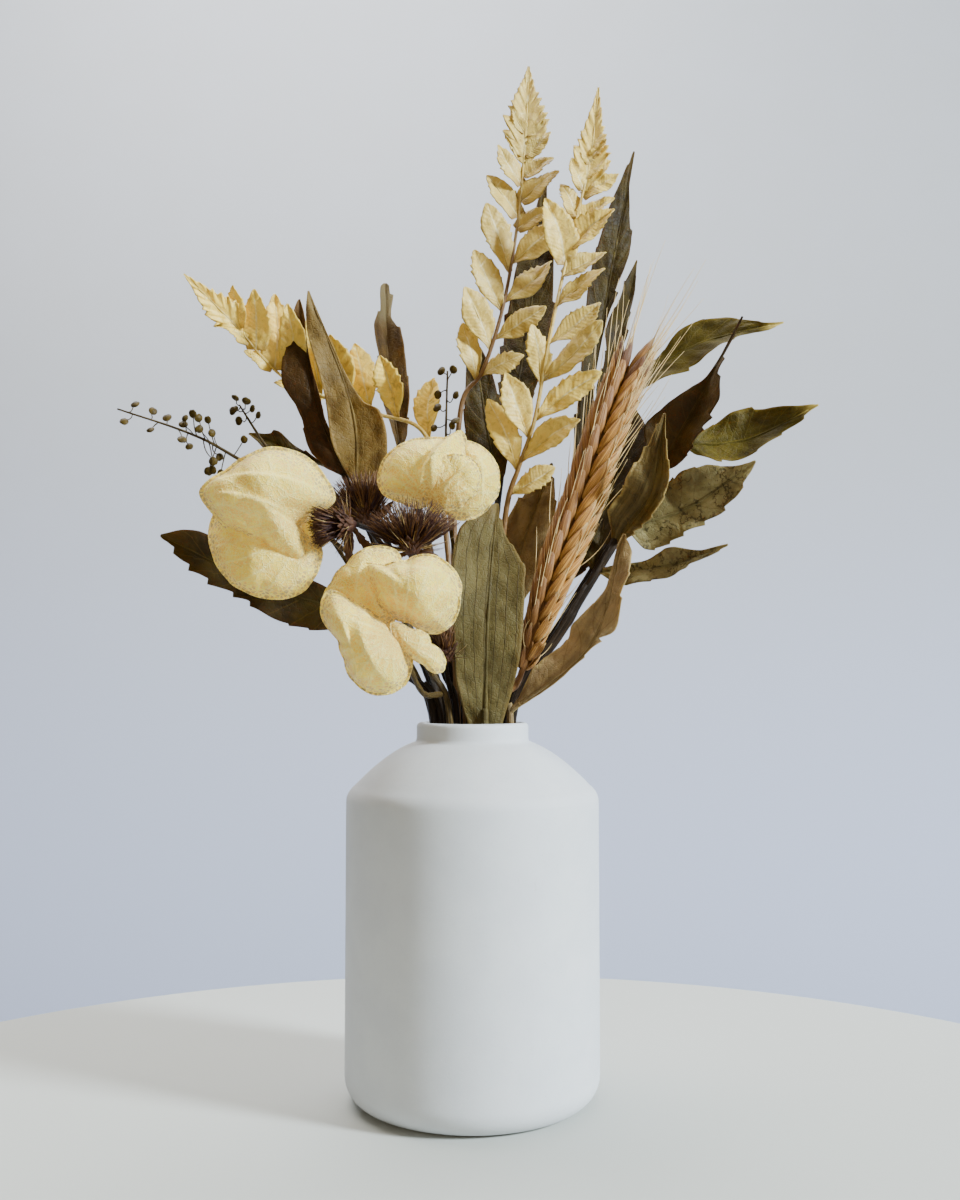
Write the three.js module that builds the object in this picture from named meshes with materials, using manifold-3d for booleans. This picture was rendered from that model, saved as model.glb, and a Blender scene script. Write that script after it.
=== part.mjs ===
// A ceramic bottle vase with a bouquet of dried flowers, in millimetres, +Z up.
// The origin is the middle of the vase's underside, and -Y is the bouquet's front.
// Every plant part is a closed body: blades, needles and tubes are lofted from rings of points
// along three.js curves, and the repeats of one frond, head or spray are fused into one body.

import * as THREE from 'three';
import { mergeVertices } from 'three/addons/utils/BufferGeometryUtils.js';
import Module from 'manifold-3d';

const wasm = await Module();
wasm.setup();

// ---------------------------------------------------------------------------------------------
// Driving dimensions
// ---------------------------------------------------------------------------------------------

const BODY_RADIUS = 40;
const BASE_ROUND = 9;
const SHOULDER_HEIGHT = 96;
const NECK_START = 112;
const RIM_HEIGHT = 118;
const NECK_RADIUS = 17.8;
const MOUTH_RADIUS = 14.8;
const LIP_ROUND = 1.4;
const WALL = 4;
const FLOOR_HEIGHT = 5;
const VASE_SIDES = 32;

const SEAT_GAP = 0.35;        // free air between pieces that rest on each other
const BLADE_THICKNESS = 0.7;
const FOOT_SPREAD = 1.75;     // how far a stem's foot lies out from its place in the mouth
const BELLY_SPREAD = 1.3;
const BELLY_HEIGHT = 64;
const TOOTH_DEPTH = 0.13;     // share of a leaf's half width

const FRONT = [0, -1, 0];     // the side that most blades face

// ---------------------------------------------------------------------------------------------
// Solids
// ---------------------------------------------------------------------------------------------

/** Manifold solid of a closed geometry, with its doubled vertices merged. */
function solidOf(geometry) {
  const plain = geometry.clone();
  plain.deleteAttribute('normal');
  plain.deleteAttribute('uv');
  const merged = mergeVertices(plain, 1e-4);
  const corners = merged.index.array;
  const kept = [];
  for (let i = 0; i < corners.length; i += 3) {
    const [a, b, c] = corners.slice(i, i + 3);
    if (a !== b && b !== c && c !== a) kept.push(a, b, c);
  }
  return new wasm.Manifold(new wasm.Mesh({
    numProp: 3,
    vertProperties: Float32Array.from(merged.attributes.position.array),
    triVerts: Uint32Array.from(kept),
  }));
}

/** Geometry of a manifold solid. */
function geometryOf(solid) {
  const mesh = solid.getMesh();
  const geometry = new THREE.BufferGeometry();
  geometry.setAttribute('position', new THREE.BufferAttribute(mesh.vertProperties, 3));
  geometry.setIndex(new THREE.BufferAttribute(mesh.triVerts, 1));
  return geometry;
}

/** One body from many closed geometries; loose scraps are dropped. */
function fuse(geometries) {
  const joined = wasm.Manifold.union(geometries.map(solidOf));
  const bodies = joined.decompose().sort((a, b) => b.volume() - a.volume());
  return geometryOf(bodies[0]);
}

/**
 * Closed body through rings of points. Point j of a ring lies opposite point count - 1 - j, and
 * both faces of a flat ring are split along the same diagonals, so a waved blade never crosses.
 */
function loft(rings) {
  const count = rings[0].length;
  const last = (rings.length - 1) * count;
  const index = [];
  for (let i = 0; i + 1 < rings.length; i += 1) {
    for (let j = 0; j < count; j += 1) {
      const a = i * count + j;
      const b = i * count + ((j + 1) % count);
      if (j < count / 2) index.push(a, b, b + count, a, b + count, a + count);
      else index.push(a, b, a + count, b, b + count, a + count);
    }
  }
  for (let j = 0; j < Math.floor(count / 2); j += 1) {
    const k = count - 1 - j;
    if (j + 1 < k) index.push(j, k, j + 1, last + j, last + j + 1, last + k);
    if (j + 1 < k - 1) index.push(j + 1, k, k - 1, last + j + 1, last + k - 1, last + k);
  }
  const geometry = new THREE.BufferGeometry();
  const positions = rings.flat().flatMap((point) => point.toArray());
  geometry.setAttribute('position', new THREE.Float32BufferAttribute(positions, 3));
  geometry.setIndex(index);
  return geometry;
}

// ---------------------------------------------------------------------------------------------
// Curves and frames
// ---------------------------------------------------------------------------------------------

const vector = (values) => new THREE.Vector3(...values);

/** Smooth curve through points, each reached at an even step of its parameter. */
const curveThrough = (points) => new THREE.CatmullRomCurve3(points.map(vector), false, 'catmullrom', 0.5);

/** Place, direction, upward side and sideways direction on a curve, turned by twist radians. */
function frameAt(curve, t, face, twist = 0) {
  const along = curve.getTangent(t).normalize();
  const up = vector(face);
  up.addScaledVector(along, -up.dot(along)).normalize().applyAxisAngle(along, twist);
  const across = new THREE.Vector3().crossVectors(up, along);
  return { at: curve.getPoint(t), along, up, across };
}

/** Point at a sideways and an upward distance from a frame. */
const offset = (frame, side, rise) => frame.at.clone()
  .addScaledVector(frame.across, side)
  .addScaledVector(frame.up, rise);

/** The list of points with a foot on the vase's floor put before its place in the mouth. */
function rooted(points) {
  const [x, y] = points[0];
  return [
    [x * FOOT_SPREAD, y * FOOT_SPREAD, FLOOR_HEIGHT + SEAT_GAP],
    [x * BELLY_SPREAD, y * BELLY_SPREAD, BELLY_HEIGHT],
    ...points,
  ];
}

/** Round tube along points that tapers from one radius to another. */
function tube(points, startRadius, endRadius, { sides = 4, steps = 2 * (points.length - 1), face = FRONT } = {}) {
  const curve = curveThrough(points);
  const rings = [];
  for (let i = 0; i <= steps; i += 1) {
    const t = i / steps;
    const frame = frameAt(curve, t, face);
    const radius = THREE.MathUtils.lerp(startRadius, endRadius, t);
    rings.push(Array.from({ length: sides }, (_, j) => {
      const angle = (2 * Math.PI * (j + 0.5)) / sides;
      return offset(frame, radius * Math.cos(angle), radius * Math.sin(angle));
    }));
  }
  return loft(rings);
}

// ---------------------------------------------------------------------------------------------
// Blades
// ---------------------------------------------------------------------------------------------

/** Share of the full width at t, which is 1 at the widest place and 0 at both ends. */
function leafProfile(t, widest, fullness) {
  const power = Math.log(0.5) / Math.log(widest);
  return Math.sin(Math.PI * t ** power) ** fullness;
}

/**
 * Leaf blade along a curve, with edges that are cut into teeth and wave up and down. With a fold
 * its halves rise by that angle on both sides of the midrib.
 */
function leafBlade(curve, {
  face = FRONT, width, widest = 0.42, fullness = 0.9, stalk = 0.08, stalkWidth = 1.2,
  fold = 0, wave = 0.8, waves = 2.5, phase = 0, teeth = 7,
}) {
  const rows = 2 * teeth + 1;
  const lift = 0.5 * BLADE_THICKNESS;
  const rings = [];
  for (let i = 0; i <= rows; i += 1) {
    const t = i / rows;
    const frame = frameAt(curve, t, face);
    const along = Math.max(0, (t - stalk) / (1 - stalk));
    const smooth = 0.5 * width * leafProfile(along, widest, fullness);
    const cut = 1 + (i % 2 ? TOOTH_DEPTH : -TOOTH_DEPTH);
    const half = Math.max(smooth * cut, 0.5 * stalkWidth * (i === 0 || i === rows ? 0.5 : 1));
    const places = fold ? [1, 0, -1] : [1, -1];
    const sheet = places.map((side) => {
      const ripple = 2 * wave * (half / width) * Math.sin(2 * Math.PI * waves * t + phase + side);
      return [side * half * Math.cos(fold), Math.abs(side) * (half * Math.sin(fold) + ripple)];
    });
    const top = sheet.map(([side, rise]) => offset(frame, side, rise + lift));
    const bottom = sheet.map(([side, rise]) => offset(frame, side, rise - lift));
    rings.push([...top, ...bottom.reverse()]);
  }
  return loft(rings);
}

/** Flat toothed leaflet from a place in a direction, with its tip bent by droop. */
function leaflet(base, direction, face, { length, width, droop = 0, rows = 4, widest = 0.45 }) {
  const tip = base.clone().addScaledVector(direction, length).addScaledVector(vector(face), -droop);
  const middle = base.clone().lerp(tip, 0.5).addScaledVector(vector(face), 0.25 * droop);
  const curve = new THREE.QuadraticBezierCurve3(base, middle, tip);
  const rings = [];
  for (let i = 0; i <= rows; i += 1) {
    const t = i / rows;
    const frame = frameAt(curve, t, face);
    const cut = 1 + (i % 2 ? 0.5 : -0.5) * TOOTH_DEPTH;
    const half = Math.max(0.5 * width * leafProfile(t, widest, 0.8) * cut, 0.35);
    const lift = 0.32;
    rings.push([
      offset(frame, half, lift), offset(frame, -half, lift),
      offset(frame, -half, -lift), offset(frame, half, -lift),
    ]);
  }
  return loft(rings);
}

/** Slender three-sided needle between two points, tapered to a quarter of its radius. */
function needle(base, tip, radius) {
  const curve = new THREE.LineCurve3(base, tip);
  const face = Math.abs(curve.getTangent(0).z) > 0.9 ? [1, 0, 0] : [0, 0, 1];
  return loft([1, 0.25].map((share, end) => {
    const frame = frameAt(curve, end, face);
    return [0, 1, 2].map((j) => {
      const angle = (2 * Math.PI * j) / 3;
      return offset(frame, share * radius * Math.cos(angle), share * radius * Math.sin(angle));
    });
  }));
}

/** Repeatable random numbers from 0 to 1. */
function randomFrom(seed) {
  let state = seed;
  return () => {
    state = (state * 16807) % 2147483647;
    return state / 2147483647;
  };
}

// ---------------------------------------------------------------------------------------------
// Vase
// ---------------------------------------------------------------------------------------------

/** Thrown bottle vase: a straight body, a sloping shoulder and a short neck with a round lip. */
function vaseGeometry() {
  const inner = BODY_RADIUS - WALL;
  const neckFoot = NECK_RADIUS + 0.3;
  const lipTop = RIM_HEIGHT - LIP_ROUND;
  const profile = new THREE.Path();
  profile.moveTo(0, 0);
  profile.lineTo(BODY_RADIUS - BASE_ROUND, 0);
  profile.absarc(BODY_RADIUS - BASE_ROUND, BASE_ROUND, BASE_ROUND, -Math.PI / 2, 0, false);
  profile.lineTo(BODY_RADIUS, SHOULDER_HEIGHT - 3);
  profile.quadraticCurveTo(BODY_RADIUS, SHOULDER_HEIGHT, BODY_RADIUS - 2.5, SHOULDER_HEIGHT + 2);
  profile.quadraticCurveTo(27, NECK_START - 3, neckFoot, NECK_START);
  profile.lineTo(NECK_RADIUS, lipTop);
  profile.absarc(NECK_RADIUS - LIP_ROUND, lipTop, LIP_ROUND, 0, Math.PI / 2, false);
  profile.absarc(MOUTH_RADIUS + LIP_ROUND, lipTop, LIP_ROUND, Math.PI / 2, Math.PI, false);
  profile.lineTo(MOUTH_RADIUS, NECK_START - 3);
  profile.lineTo(inner, SHOULDER_HEIGHT - 4);
  profile.lineTo(inner, BASE_ROUND + WALL);
  profile.lineTo(inner - BASE_ROUND, FLOOR_HEIGHT);
  profile.lineTo(0, FLOOR_HEIGHT);
  const geometry = new THREE.LatheGeometry(profile.getPoints(2), VASE_SIDES);
  geometry.rotateX(Math.PI / 2);
  return geometryOf(solidOf(geometry));
}

// ---------------------------------------------------------------------------------------------
// Stems and leaves
// ---------------------------------------------------------------------------------------------

// Each stem starts at its place in the mouth of the vase.
const STEMS = {
  stem_left: { points: [[-11, 6.5, 119], [-22, 9, 151], [-35, 12, 183], [-43, 13, 200]], radius: [1.7, 0.9] },
  stem_left_back: { points: [[-5, 11, 119], [-14, 24, 172], [-25, 36, 210], [-29, 42, 230]], radius: [1.5, 0.8] },
  stem_left_low: { points: [[-12, -4, 119], [-22, -4, 135], [-38, -4, 153]], radius: [1.5, 0.9] },
  stem_back: { points: [[1, 12, 119], [6, 26, 172], [11, 38, 211]], radius: [1.6, 0.8] },
  stem_right_up: { points: [[8, 9.5, 119], [25, 26, 162], [36, 40, 202], [45, 48, 232]], radius: [1.8, 0.9] },
  stem_right: { points: [[12, 3, 119], [29, 5, 148], [47, 10, 177], [61, 16, 199], [71, 20, 211]], radius: [1.9, 0.9] },
};

// path: base, middle and tip. A leaf starts at its stem's side that looks to its middle, or to
// the seat direction where it has one.
const LEAVES = {
  leaf_left_dark: {
    stem: 'stem_left', path: [[-42, 13, 199], [-52, 7, 223], [-58, 10, 258]],
    blade: { width: 15, widest: 0.45, face: [-0.5, -1, 0.1], fold: 0.35, phase: 1 },
  },
  leaf_left_tall: {
    stem: 'stem_left', path: [[-38, 12, 192], [-39, 0, 219], [-53, -3, 257]],
    blade: { width: 19.5, widest: 0.4, face: [0.15, -1, 0.1], phase: 3 },
  },
  leaf_back_left: {
    stem: 'stem_left_back', seat: [-0.5, -1, 0], path: [[-26, 36, 212], [-30, 38, 242], [-32, 48, 275]],
    blade: { width: 14, widest: 0.4, face: [0.3, -1, 0], fold: 0.3, teeth: 7 },
  },
  leaf_low_left: {
    stem: 'stem_left_low', path: [[-38, -4, 153], [-66, -8, 161], [-96, -18, 176]],
    blade: { width: 19, widest: 0.5, face: [0.1, -1, -0.1], phase: 2 },
  },
  leaf_small_left: {
    stem: 'stem_left', path: [[-43, 13, 200], [-61, 26, 209], [-77, 26, 216]],
    blade: { width: 8.5, widest: 0.4, face: [0, -1, 0.4], fold: 0.3, teeth: 5 },
  },
  leaf_back_tall: {
    stem: 'stem_right_up', seat: [0.3, -1, 0], path: [[36, 40, 202], [48, 46, 268], [60, 58, 328]],
    blade: { width: 21, widest: 0.5, face: [0.2, -1, 0.1], teeth: 10, phase: 1 },
  },
  leaf_back_dark: {
    stem: 'stem_right_up', path: [[46, 49, 232], [54, 53, 259], [61, 59, 287]],
    blade: { width: 15, widest: 0.5, face: [0.5, -1, 0], fold: 0.25, teeth: 6, phase: 4 },
  },
  leaf_behind_fern: {
    stem: 'stem_back', path: [[12, 39, 212], [20, 50, 261], [27, 60, 318]],
    blade: { width: 19, widest: 0.45, face: [-0.2, -1, 0.1], teeth: 9, phase: 2 },
  },
  leaf_green_behind: {
    stem: 'stem_back', path: [[8, 34, 200], [5, 28, 217], [0, 30, 251]],
    blade: { width: 16, widest: 0.5, face: [0.1, -1, 0], teeth: 6, phase: 5 },
  },
  leaf_up_right: {
    stem: 'stem_right_up', path: [[43, 46, 227], [77, 44, 250], [109, 34, 257]],
    blade: { width: 15.5, widest: 0.42, face: [-0.1, -1, 0.5], phase: 1 },
  },
  leaf_spike: {
    stem: 'stem_right', path: [[62, 16, 200], [73, 10, 221], [88, 2, 250]],
    blade: { width: 17, widest: 0.42, face: [-0.4, -1, 0.2], fold: 0.45, phase: 3 },
  },
  leaf_right: {
    stem: 'stem_right', path: [[72, 20, 211], [93, 22, 213], [115, 12, 223]],
    blade: { width: 15, widest: 0.5, face: [-0.1, -1, 0.35], teeth: 7, phase: 2 },
  },
  leaf_mottled: {
    stem: 'stem_right', path: [[50, 11, 182], [71, 6, 188], [90, -6, 201]],
    blade: { width: 20, widest: 0.5, face: [0.1, -1, 0.15], wave: 1.2, phase: 4 },
  },
  leaf_grey_low: {
    stem: 'stem_right', path: [[41, 8, 167], [62, -4, 168], [78, -20, 173]],
    blade: { width: 11, widest: 0.5, face: [-0.2, -1, 0.3], fold: 0.25, teeth: 6, phase: 1 },
  },
  leaf_brown_inner: {
    stem: 'stem_right', seat: [-0.6, 0.6, 0.6], path: [[41, 8, 167], [46, 17, 192], [54, 22, 225]],
    blade: { width: 13, widest: 0.5, face: [-0.3, -1, 0.1], fold: 0.3, teeth: 7, phase: 5 },
  },
  leaf_brown_outer: {
    stem: 'stem_right', path: [[47, 9, 177], [57, -2, 192], [61, -8, 216]],
    blade: { width: 14, widest: 0.45, face: [-0.2, -1, 0.2], fold: 0.3, teeth: 6, phase: 2 },
  },
  leaf_dark_middle: {
    stem: 'stem_right_up', seat: [0.2, -1, 0], path: [[25, 26, 162], [40, 25, 186], [49, 32, 215]],
    blade: { width: 15, widest: 0.5, face: [0.1, -1, 0], teeth: 7 },
  },
};

// These leaves stand in the vase on a long stalk of their own.
const STANDING_LEAVES = {
  leaf_front: {
    stalk: [[4, -10.5, 119]], path: [[4, -10.5, 122], [5, -13, 153], [8, -3, 188]],
    blade: { width: 25, widest: 0.55, fullness: 0.75, face: [0.05, -1, 0], stalk: 0, stalkWidth: 4, phase: 1 },
  },
  leaf_curved: {
    stalk: [[12, -3.2, 119]], path: [[12, -3.2, 121.5], [37, -12, 143], [47, -14, 177]],
    blade: { width: 12, widest: 0.6, face: [-0.6, -1, 0.5], stalk: 0, stalkWidth: 3, teeth: 9, phase: 3 },
  },
  leaf_khaki: {
    stalk: [[6, 6, 119], [6, 14, 138]], path: [[6, 16, 142], [16, 18, 175], [27, 22, 205]],
    blade: { width: 18, widest: 0.55, face: [0.1, -1, 0], phase: 2 },
  },
};

/** Nearest place on a stem to a point, with the stem's direction and radius there. */
function nearestOnStem(stem, point) {
  const curve = curveThrough(rooted(stem.points));
  const steps = 400;
  let best = 0;
  for (let i = 0; i <= steps; i += 1) {
    const isNearer = curve.getPoint(i / steps).distanceTo(point) < curve.getPoint(best).distanceTo(point);
    if (isNearer) best = i / steps;
  }
  return {
    t: best,
    at: curve.getPoint(best),
    along: curve.getTangent(best),
    radius: THREE.MathUtils.lerp(...stem.radius, best),
  };
}

/** Path of a leaf whose base is drawn to the side of the stem that carries it, or to its end. */
function seatedPath(stem, path, seat) {
  const nearest = nearestOnStem(stem, vector(path[0]));
  const outward = seat ? vector(seat) : vector(path[1]).sub(nearest.at);
  const atEnd = nearest.t > 0.99;
  if (!atEnd) outward.addScaledVector(nearest.along, -outward.dot(nearest.along));
  const reach = (atEnd ? 0.4 : 1) * nearest.radius + SEAT_GAP + 0.25;
  return [nearest.at.addScaledVector(outward.normalize(), reach).toArray(), path[1], path[2]];
}

const stemGeometry = (stem) => tube(rooted(stem.points), ...stem.radius);

const leafGeometry = (leaf) => leafBlade(
  curveThrough(seatedPath(STEMS[leaf.stem], leaf.path, leaf.seat)),
  leaf.blade,
);

function standingLeafGeometry(leaf) {
  const curve = curveThrough(leaf.path);
  const inBlade = curve.getPoint(0.06).toArray();
  const stalk = tube([...rooted(leaf.stalk), leaf.path[0], inBlade], 1.1, 0.7);
  return fuse([stalk, leafBlade(curve, leaf.blade)]);
}

// ---------------------------------------------------------------------------------------------
// Fern fronds
// ---------------------------------------------------------------------------------------------

// A leaflet is [place on the rachis, length, angle from the rachis in degrees].
const FRONDS = {
  frond_tall: {
    rachis: [
      [-2, 4, 119], [-6, 6, 170], [-4, 5, 219], [3, 5, 232], [9, 5, 250],
      [13, 7, 270], [16, 10, 293], [18, 14, 319], [19, 18, 341],
    ],
    radius: [1.1, 0.5],
    right: [
      [0.366, 16, 33], [0.455, 20, 42], [0.536, 21, 36], [0.62, 20, 39],
      [0.686, 15, 49], [0.74, 16, 49], [0.793, 11, 56], [0.838, 10, 50],
    ],
    left: [[0.345, 20, 55], [0.43, 22, 42], [0.518, 22, 39], [0.602, 24, 29], [0.72, 15, 47], [0.8, 10, 54]],
    tip: { from: 0.865, width: 11 },
    face: [0.05, -1, 0.05],
  },
  frond_middle: {
    rachis: [
      [4, 2, 119], [8, 4, 157], [11, 1, 187], [15, -2, 200], [20, -4, 215],
      [24, -5, 237], [29, -3, 261], [34, 0, 282], [39, 4, 304], [42, 8, 329],
    ],
    radius: [1.1, 0.5],
    right: [
      [0.25, 17, 43], [0.345, 24, 37], [0.442, 26, 42], [0.508, 27, 37], [0.566, 21, 41], [0.624, 19, 47],
      [0.672, 16, 47], [0.72, 19, 39], [0.768, 15, 45], [0.822, 13, 55], [0.86, 9, 46],
    ],
    left: [[0.32, 25, 42], [0.404, 22, 38], [0.499, 20, 18], [0.7, 21, 28], [0.806, 12, 34]],
    tip: { from: 0.885, width: 9 },
    face: [-0.1, -1, 0.1],
  },
  frond_left: {
    rachis: [
      [-5, 7.5, 119], [-8, 15, 171], [-15, 18, 212], [-32, 18, 221],
      [-48, 17, 226], [-64, 14, 233], [-79, 8, 249], [-93, -4, 262],
    ],
    radius: [1.1, 0.5],
    right: [
      [0.286, 22, 29], [0.376, 20, 63], [0.484, 18, 58], [0.56, 20, 58],
      [0.658, 24, 57], [0.747, 22, 38], [0.81, 16, 36], [0.862, 10, 36],
    ],
    left: [[0.5, 14, 42], [0.62, 14, 40], [0.74, 12, 38]],
    tip: { from: 0.885, width: 9 },
    face: [0.2, -1, -0.2],
  },
};

const LEAFLET_LEAN = [0.06, 0.26];  // rise of every second leaflet towards the front of its frond
const LEAFLET_TILT = 0.35;          // turn of a leaflet about its own length
const LEAFLET_WIDTH = 0.42;         // share of its length
const LEAFLET_WIDEST = 8;

/** Frond with alternating leaflets and a tapering tip whose last leaflets have grown together. */
function frondGeometry(frond) {
  const curve = curveThrough(rooted(frond.rachis));
  const mouth = 2 / (frond.rachis.length + 1);
  const onRachis = (t) => mouth + (1 - mouth) * t;
  const end = onRachis(frond.tip.from) + 0.01;
  const stalkPoints = Array.from({ length: 16 }, (_, i) => curve.getPoint((end * i) / 15).toArray());
  const parts = [tube(stalkPoints, ...frond.radius, { sides: 4, steps: 15 })];
  const addSide = (leaflets, sign) => leaflets.forEach(([t, length, degrees], order) => {
    const frame = frameAt(curve, onRachis(t), frond.face);
    const turn = sign * THREE.MathUtils.degToRad(degrees);
    const direction = frame.along.clone().multiplyScalar(Math.cos(turn))
      .addScaledVector(frame.across, Math.sin(turn))
      .addScaledVector(frame.up, LEAFLET_LEAN[order % 2])
      .normalize();
    const face = frame.up.clone().applyAxisAngle(direction, sign * LEAFLET_TILT).toArray();
    const width = Math.min(LEAFLET_WIDTH * length, LEAFLET_WIDEST);
    parts.push(leaflet(frame.at, direction, face, { length, width, droop: 1.5 - (order % 3) }));
  });
  addSide(frond.right, -1);
  addSide(frond.left, 1);
  const tipPoints = [0, 0.5, 1].map((share) => curve.getPoint(onRachis(THREE.MathUtils.lerp(frond.tip.from, 1, share))));
  parts.push(leafBlade(new THREE.CatmullRomCurve3(tipPoints), {
    width: frond.tip.width, widest: 0.24, fullness: 0.9, face: frond.face, stalk: 0, wave: 0, teeth: 6,
  }));
  return fuse(parts);
}

// ---------------------------------------------------------------------------------------------
// Bearded ear of wheat
// ---------------------------------------------------------------------------------------------

const EAR = {
  stalk: [[8.6, -2.4, 119], [14, -1.5, 130]],
  axis: [[16, -1, 135], [24, 2, 160], [34, 6, 187], [44, 10, 216], [52, 13, 236]],
  spikelets: 12,
  length: 13.5,
  width: 2.5,
  thickness: 1.25,
  lean: 0.4,
  awnLength: [18, 38],
  awnRadius: 0.35,
};

/** Husked grain from a place on the ear, drawn out into an awn where it has one. */
function spikelet(base, direction, face, size, awn) {
  const length = size * EAR.length;
  const end = base.clone().addScaledVector(direction, length);
  const husk = new THREE.LineCurve3(base, end);
  const rings = [[0, 0.22], [0.4, 1], [0.85, 0.45], [1, 0.2]].map(([t, share]) => {
    const frame = frameAt(husk, t, face);
    const wide = share * size * EAR.width;
    const thin = share * size * EAR.thickness;
    return [offset(frame, wide, 0), offset(frame, 0, thin), offset(frame, -wide, 0), offset(frame, 0, -thin)];
  });
  if (awn) {
    const frame = frameAt(new THREE.LineCurve3(end, awn), 1, face);
    const radius = 0.5 * EAR.awnRadius;
    rings.push([
      offset(frame, radius, 0), offset(frame, 0, radius), offset(frame, -radius, 0), offset(frame, 0, -radius),
    ]);
  }
  return loft(rings);
}

/** Ear of two wide rows of spikelets and a narrow one in front and behind, with long awns. */
function wheatGeometry() {
  const axis = curveThrough(EAR.axis);
  const random = randomFrom(11);
  const parts = [tube([...rooted(EAR.stalk), ...EAR.axis], 1.1, 0.8)];
  for (let i = 0; i < EAR.spikelets; i += 1) {
    for (const row of [0, 1, 2, 3]) {
      const t = (i + 0.25 * row) / EAR.spikelets;
      const frame = frameAt(axis, t, FRONT);
      const angle = (row * Math.PI) / 2;
      const outward = frame.across.clone().multiplyScalar(Math.cos(angle)).addScaledVector(frame.up, Math.sin(angle));
      const size = (row % 2 ? 0.8 : 1) * (0.72 + 0.28 * Math.sin(Math.PI * (0.15 + 0.75 * t)));
      const direction = frame.along.clone().addScaledVector(outward, EAR.lean).normalize();
      const base = frame.at.clone().addScaledVector(outward, 0.8);
      const bearded = t > 0.5 || i % 4 === row;
      const reach = THREE.MathUtils.lerp(...EAR.awnLength, random()) * (0.7 + 0.5 * t) + size * EAR.length;
      const slant = direction.clone().addScaledVector(frame.along, 0.3 + 0.3 * random()).normalize();
      const awn = bearded ? base.clone().addScaledVector(slant, reach) : null;
      parts.push(spikelet(base, direction, outward.toArray(), size, awn));
    }
  }
  return fuse(parts);
}

// ---------------------------------------------------------------------------------------------
// Papery lantern blooms
// ---------------------------------------------------------------------------------------------

// spin turns the five sepals round the axis that runs from the hub to the pointed end.
const LANTERNS = {
  lantern_left: { hub: [-51, -35, 177], apex: [-83, -25, 188], radius: 20.5, spin: 0.5 },
  lantern_right: { hub: [-11, -22, 183], apex: [-4, -30, 207], radius: 15.5, spin: 0.2 },
  lantern_low: { hub: [-20.5, -44, 140], apex: [-31, -53, 160], radius: 19, spin: 0.9 },
};
const SEPALS = 5;

// Outline of a sepal's middle line as [radius share, length share]: it runs back and out from
// the hub, over the widest place and on to the point.
const SEPAL_OUTLINE = curveThrough([
  [0.1, -0.02, 0], [0.45, -0.16, 0], [0.86, -0.12, 0], [1, 0.2, 0],
  [0.9, 0.52, 0], [0.58, 0.8, 0], [0.28, 1, 0], [0.19, 1.1, 0],
]);
const SEPAL_COLUMNS = [-1, -0.5, 0, 0.5, 1];
const SEPAL_ROWS = 6;
const SEPAL_OVERLAP = 0.13;
const SEPAL_FLARE = 0.14;

/**
 * Point of a sepal's middle surface: t runs from hub to point, s from edge to edge. One edge lies
 * over the next sepal and the other is tucked under the last one.
 */
function sepalPoint(lantern, turn, t, s) {
  const hub = vector(lantern.hub);
  const axis = vector(lantern.apex).sub(hub);
  const length = axis.length();
  axis.normalize();
  const side = new THREE.Vector3().crossVectors(axis, vector([0, 1, 0])).normalize();
  const outward = side.clone().applyAxisAngle(axis, turn);
  const sideways = new THREE.Vector3().crossVectors(axis, outward);
  const outline = SEPAL_OUTLINE.getPoint(t);
  const slope = SEPAL_OUTLINE.getTangent(t);
  const normal = new THREE.Vector2(length * slope.y, -lantern.radius * slope.x).normalize();
  const swell = Math.sin(Math.PI * t) ** 2;
  const lift = lantern.radius * SEPAL_FLARE * (0.9 * s + 0.3 * s * s) * swell;
  const half = 0.66 * outline.x + SEPAL_OVERLAP * swell;
  return hub
    .addScaledVector(axis, length * outline.y + lift * normal.y)
    .addScaledVector(outward, lantern.radius * outline.x * 0.93 + lift * normal.x)
    .addScaledVector(sideways, lantern.radius * half * s);
}

/** One thin, cupped sepal with edges that flare outward. */
function sepal(lantern, turn) {
  const rings = [];
  for (let i = 0; i <= SEPAL_ROWS; i += 1) {
    const t = i / SEPAL_ROWS;
    const step = 0.01;
    const sheet = SEPAL_COLUMNS.map((s) => {
      const at = sepalPoint(lantern, turn, t, s);
      const alongS = sepalPoint(lantern, turn, t, s + step).sub(sepalPoint(lantern, turn, t, s - step));
      const later = Math.min(t + step, 1);
      const earlier = Math.max(t - step, 0);
      const alongT = sepalPoint(lantern, turn, later, s).sub(sepalPoint(lantern, turn, earlier, s));
      const normal = alongS.cross(alongT).normalize().multiplyScalar(0.5 * BLADE_THICKNESS);
      return { outer: at.clone().add(normal), inner: at.clone().sub(normal) };
    });
    rings.push([...sheet.map((point) => point.outer), ...sheet.map((point) => point.inner).reverse()]);
  }
  return loft(rings);
}

function lanternGeometry(lantern) {
  const core = new THREE.IcosahedronGeometry(2.9, 0);
  core.translate(...lantern.hub);
  const sepals = Array.from({ length: SEPALS }, (_, k) => sepal(lantern, lantern.spin + (2 * Math.PI * k) / SEPALS));
  return fuse([core, ...sepals]);
}

/** Branching stem that carries the lanterns, ending just under each hub. */
function lanternStemGeometry() {
  const main = rooted([[-7, -9, 119], [-14, -12, 136], [-27, -17, 160]]);
  const endUnder = (lantern, reach = 3.4) => {
    const hub = vector(lantern.hub);
    const back = vector(lantern.apex).sub(hub).normalize();
    return hub.addScaledVector(back, -reach).toArray();
  };
  return fuse([
    tube([...main, endUnder(LANTERNS.lantern_left)], 1.3, 0.7),
    tube([[-10, -10.4, 127], [-15, -26, 128], endUnder(LANTERNS.lantern_low)], 1.0, 0.7),
    tube([[-12.6, -11.5, 133], [-15, -20, 152], endUnder(LANTERNS.lantern_right)], 1.0, 0.7),
  ]);
}

// ---------------------------------------------------------------------------------------------
// Thistle heads
// ---------------------------------------------------------------------------------------------

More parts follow.
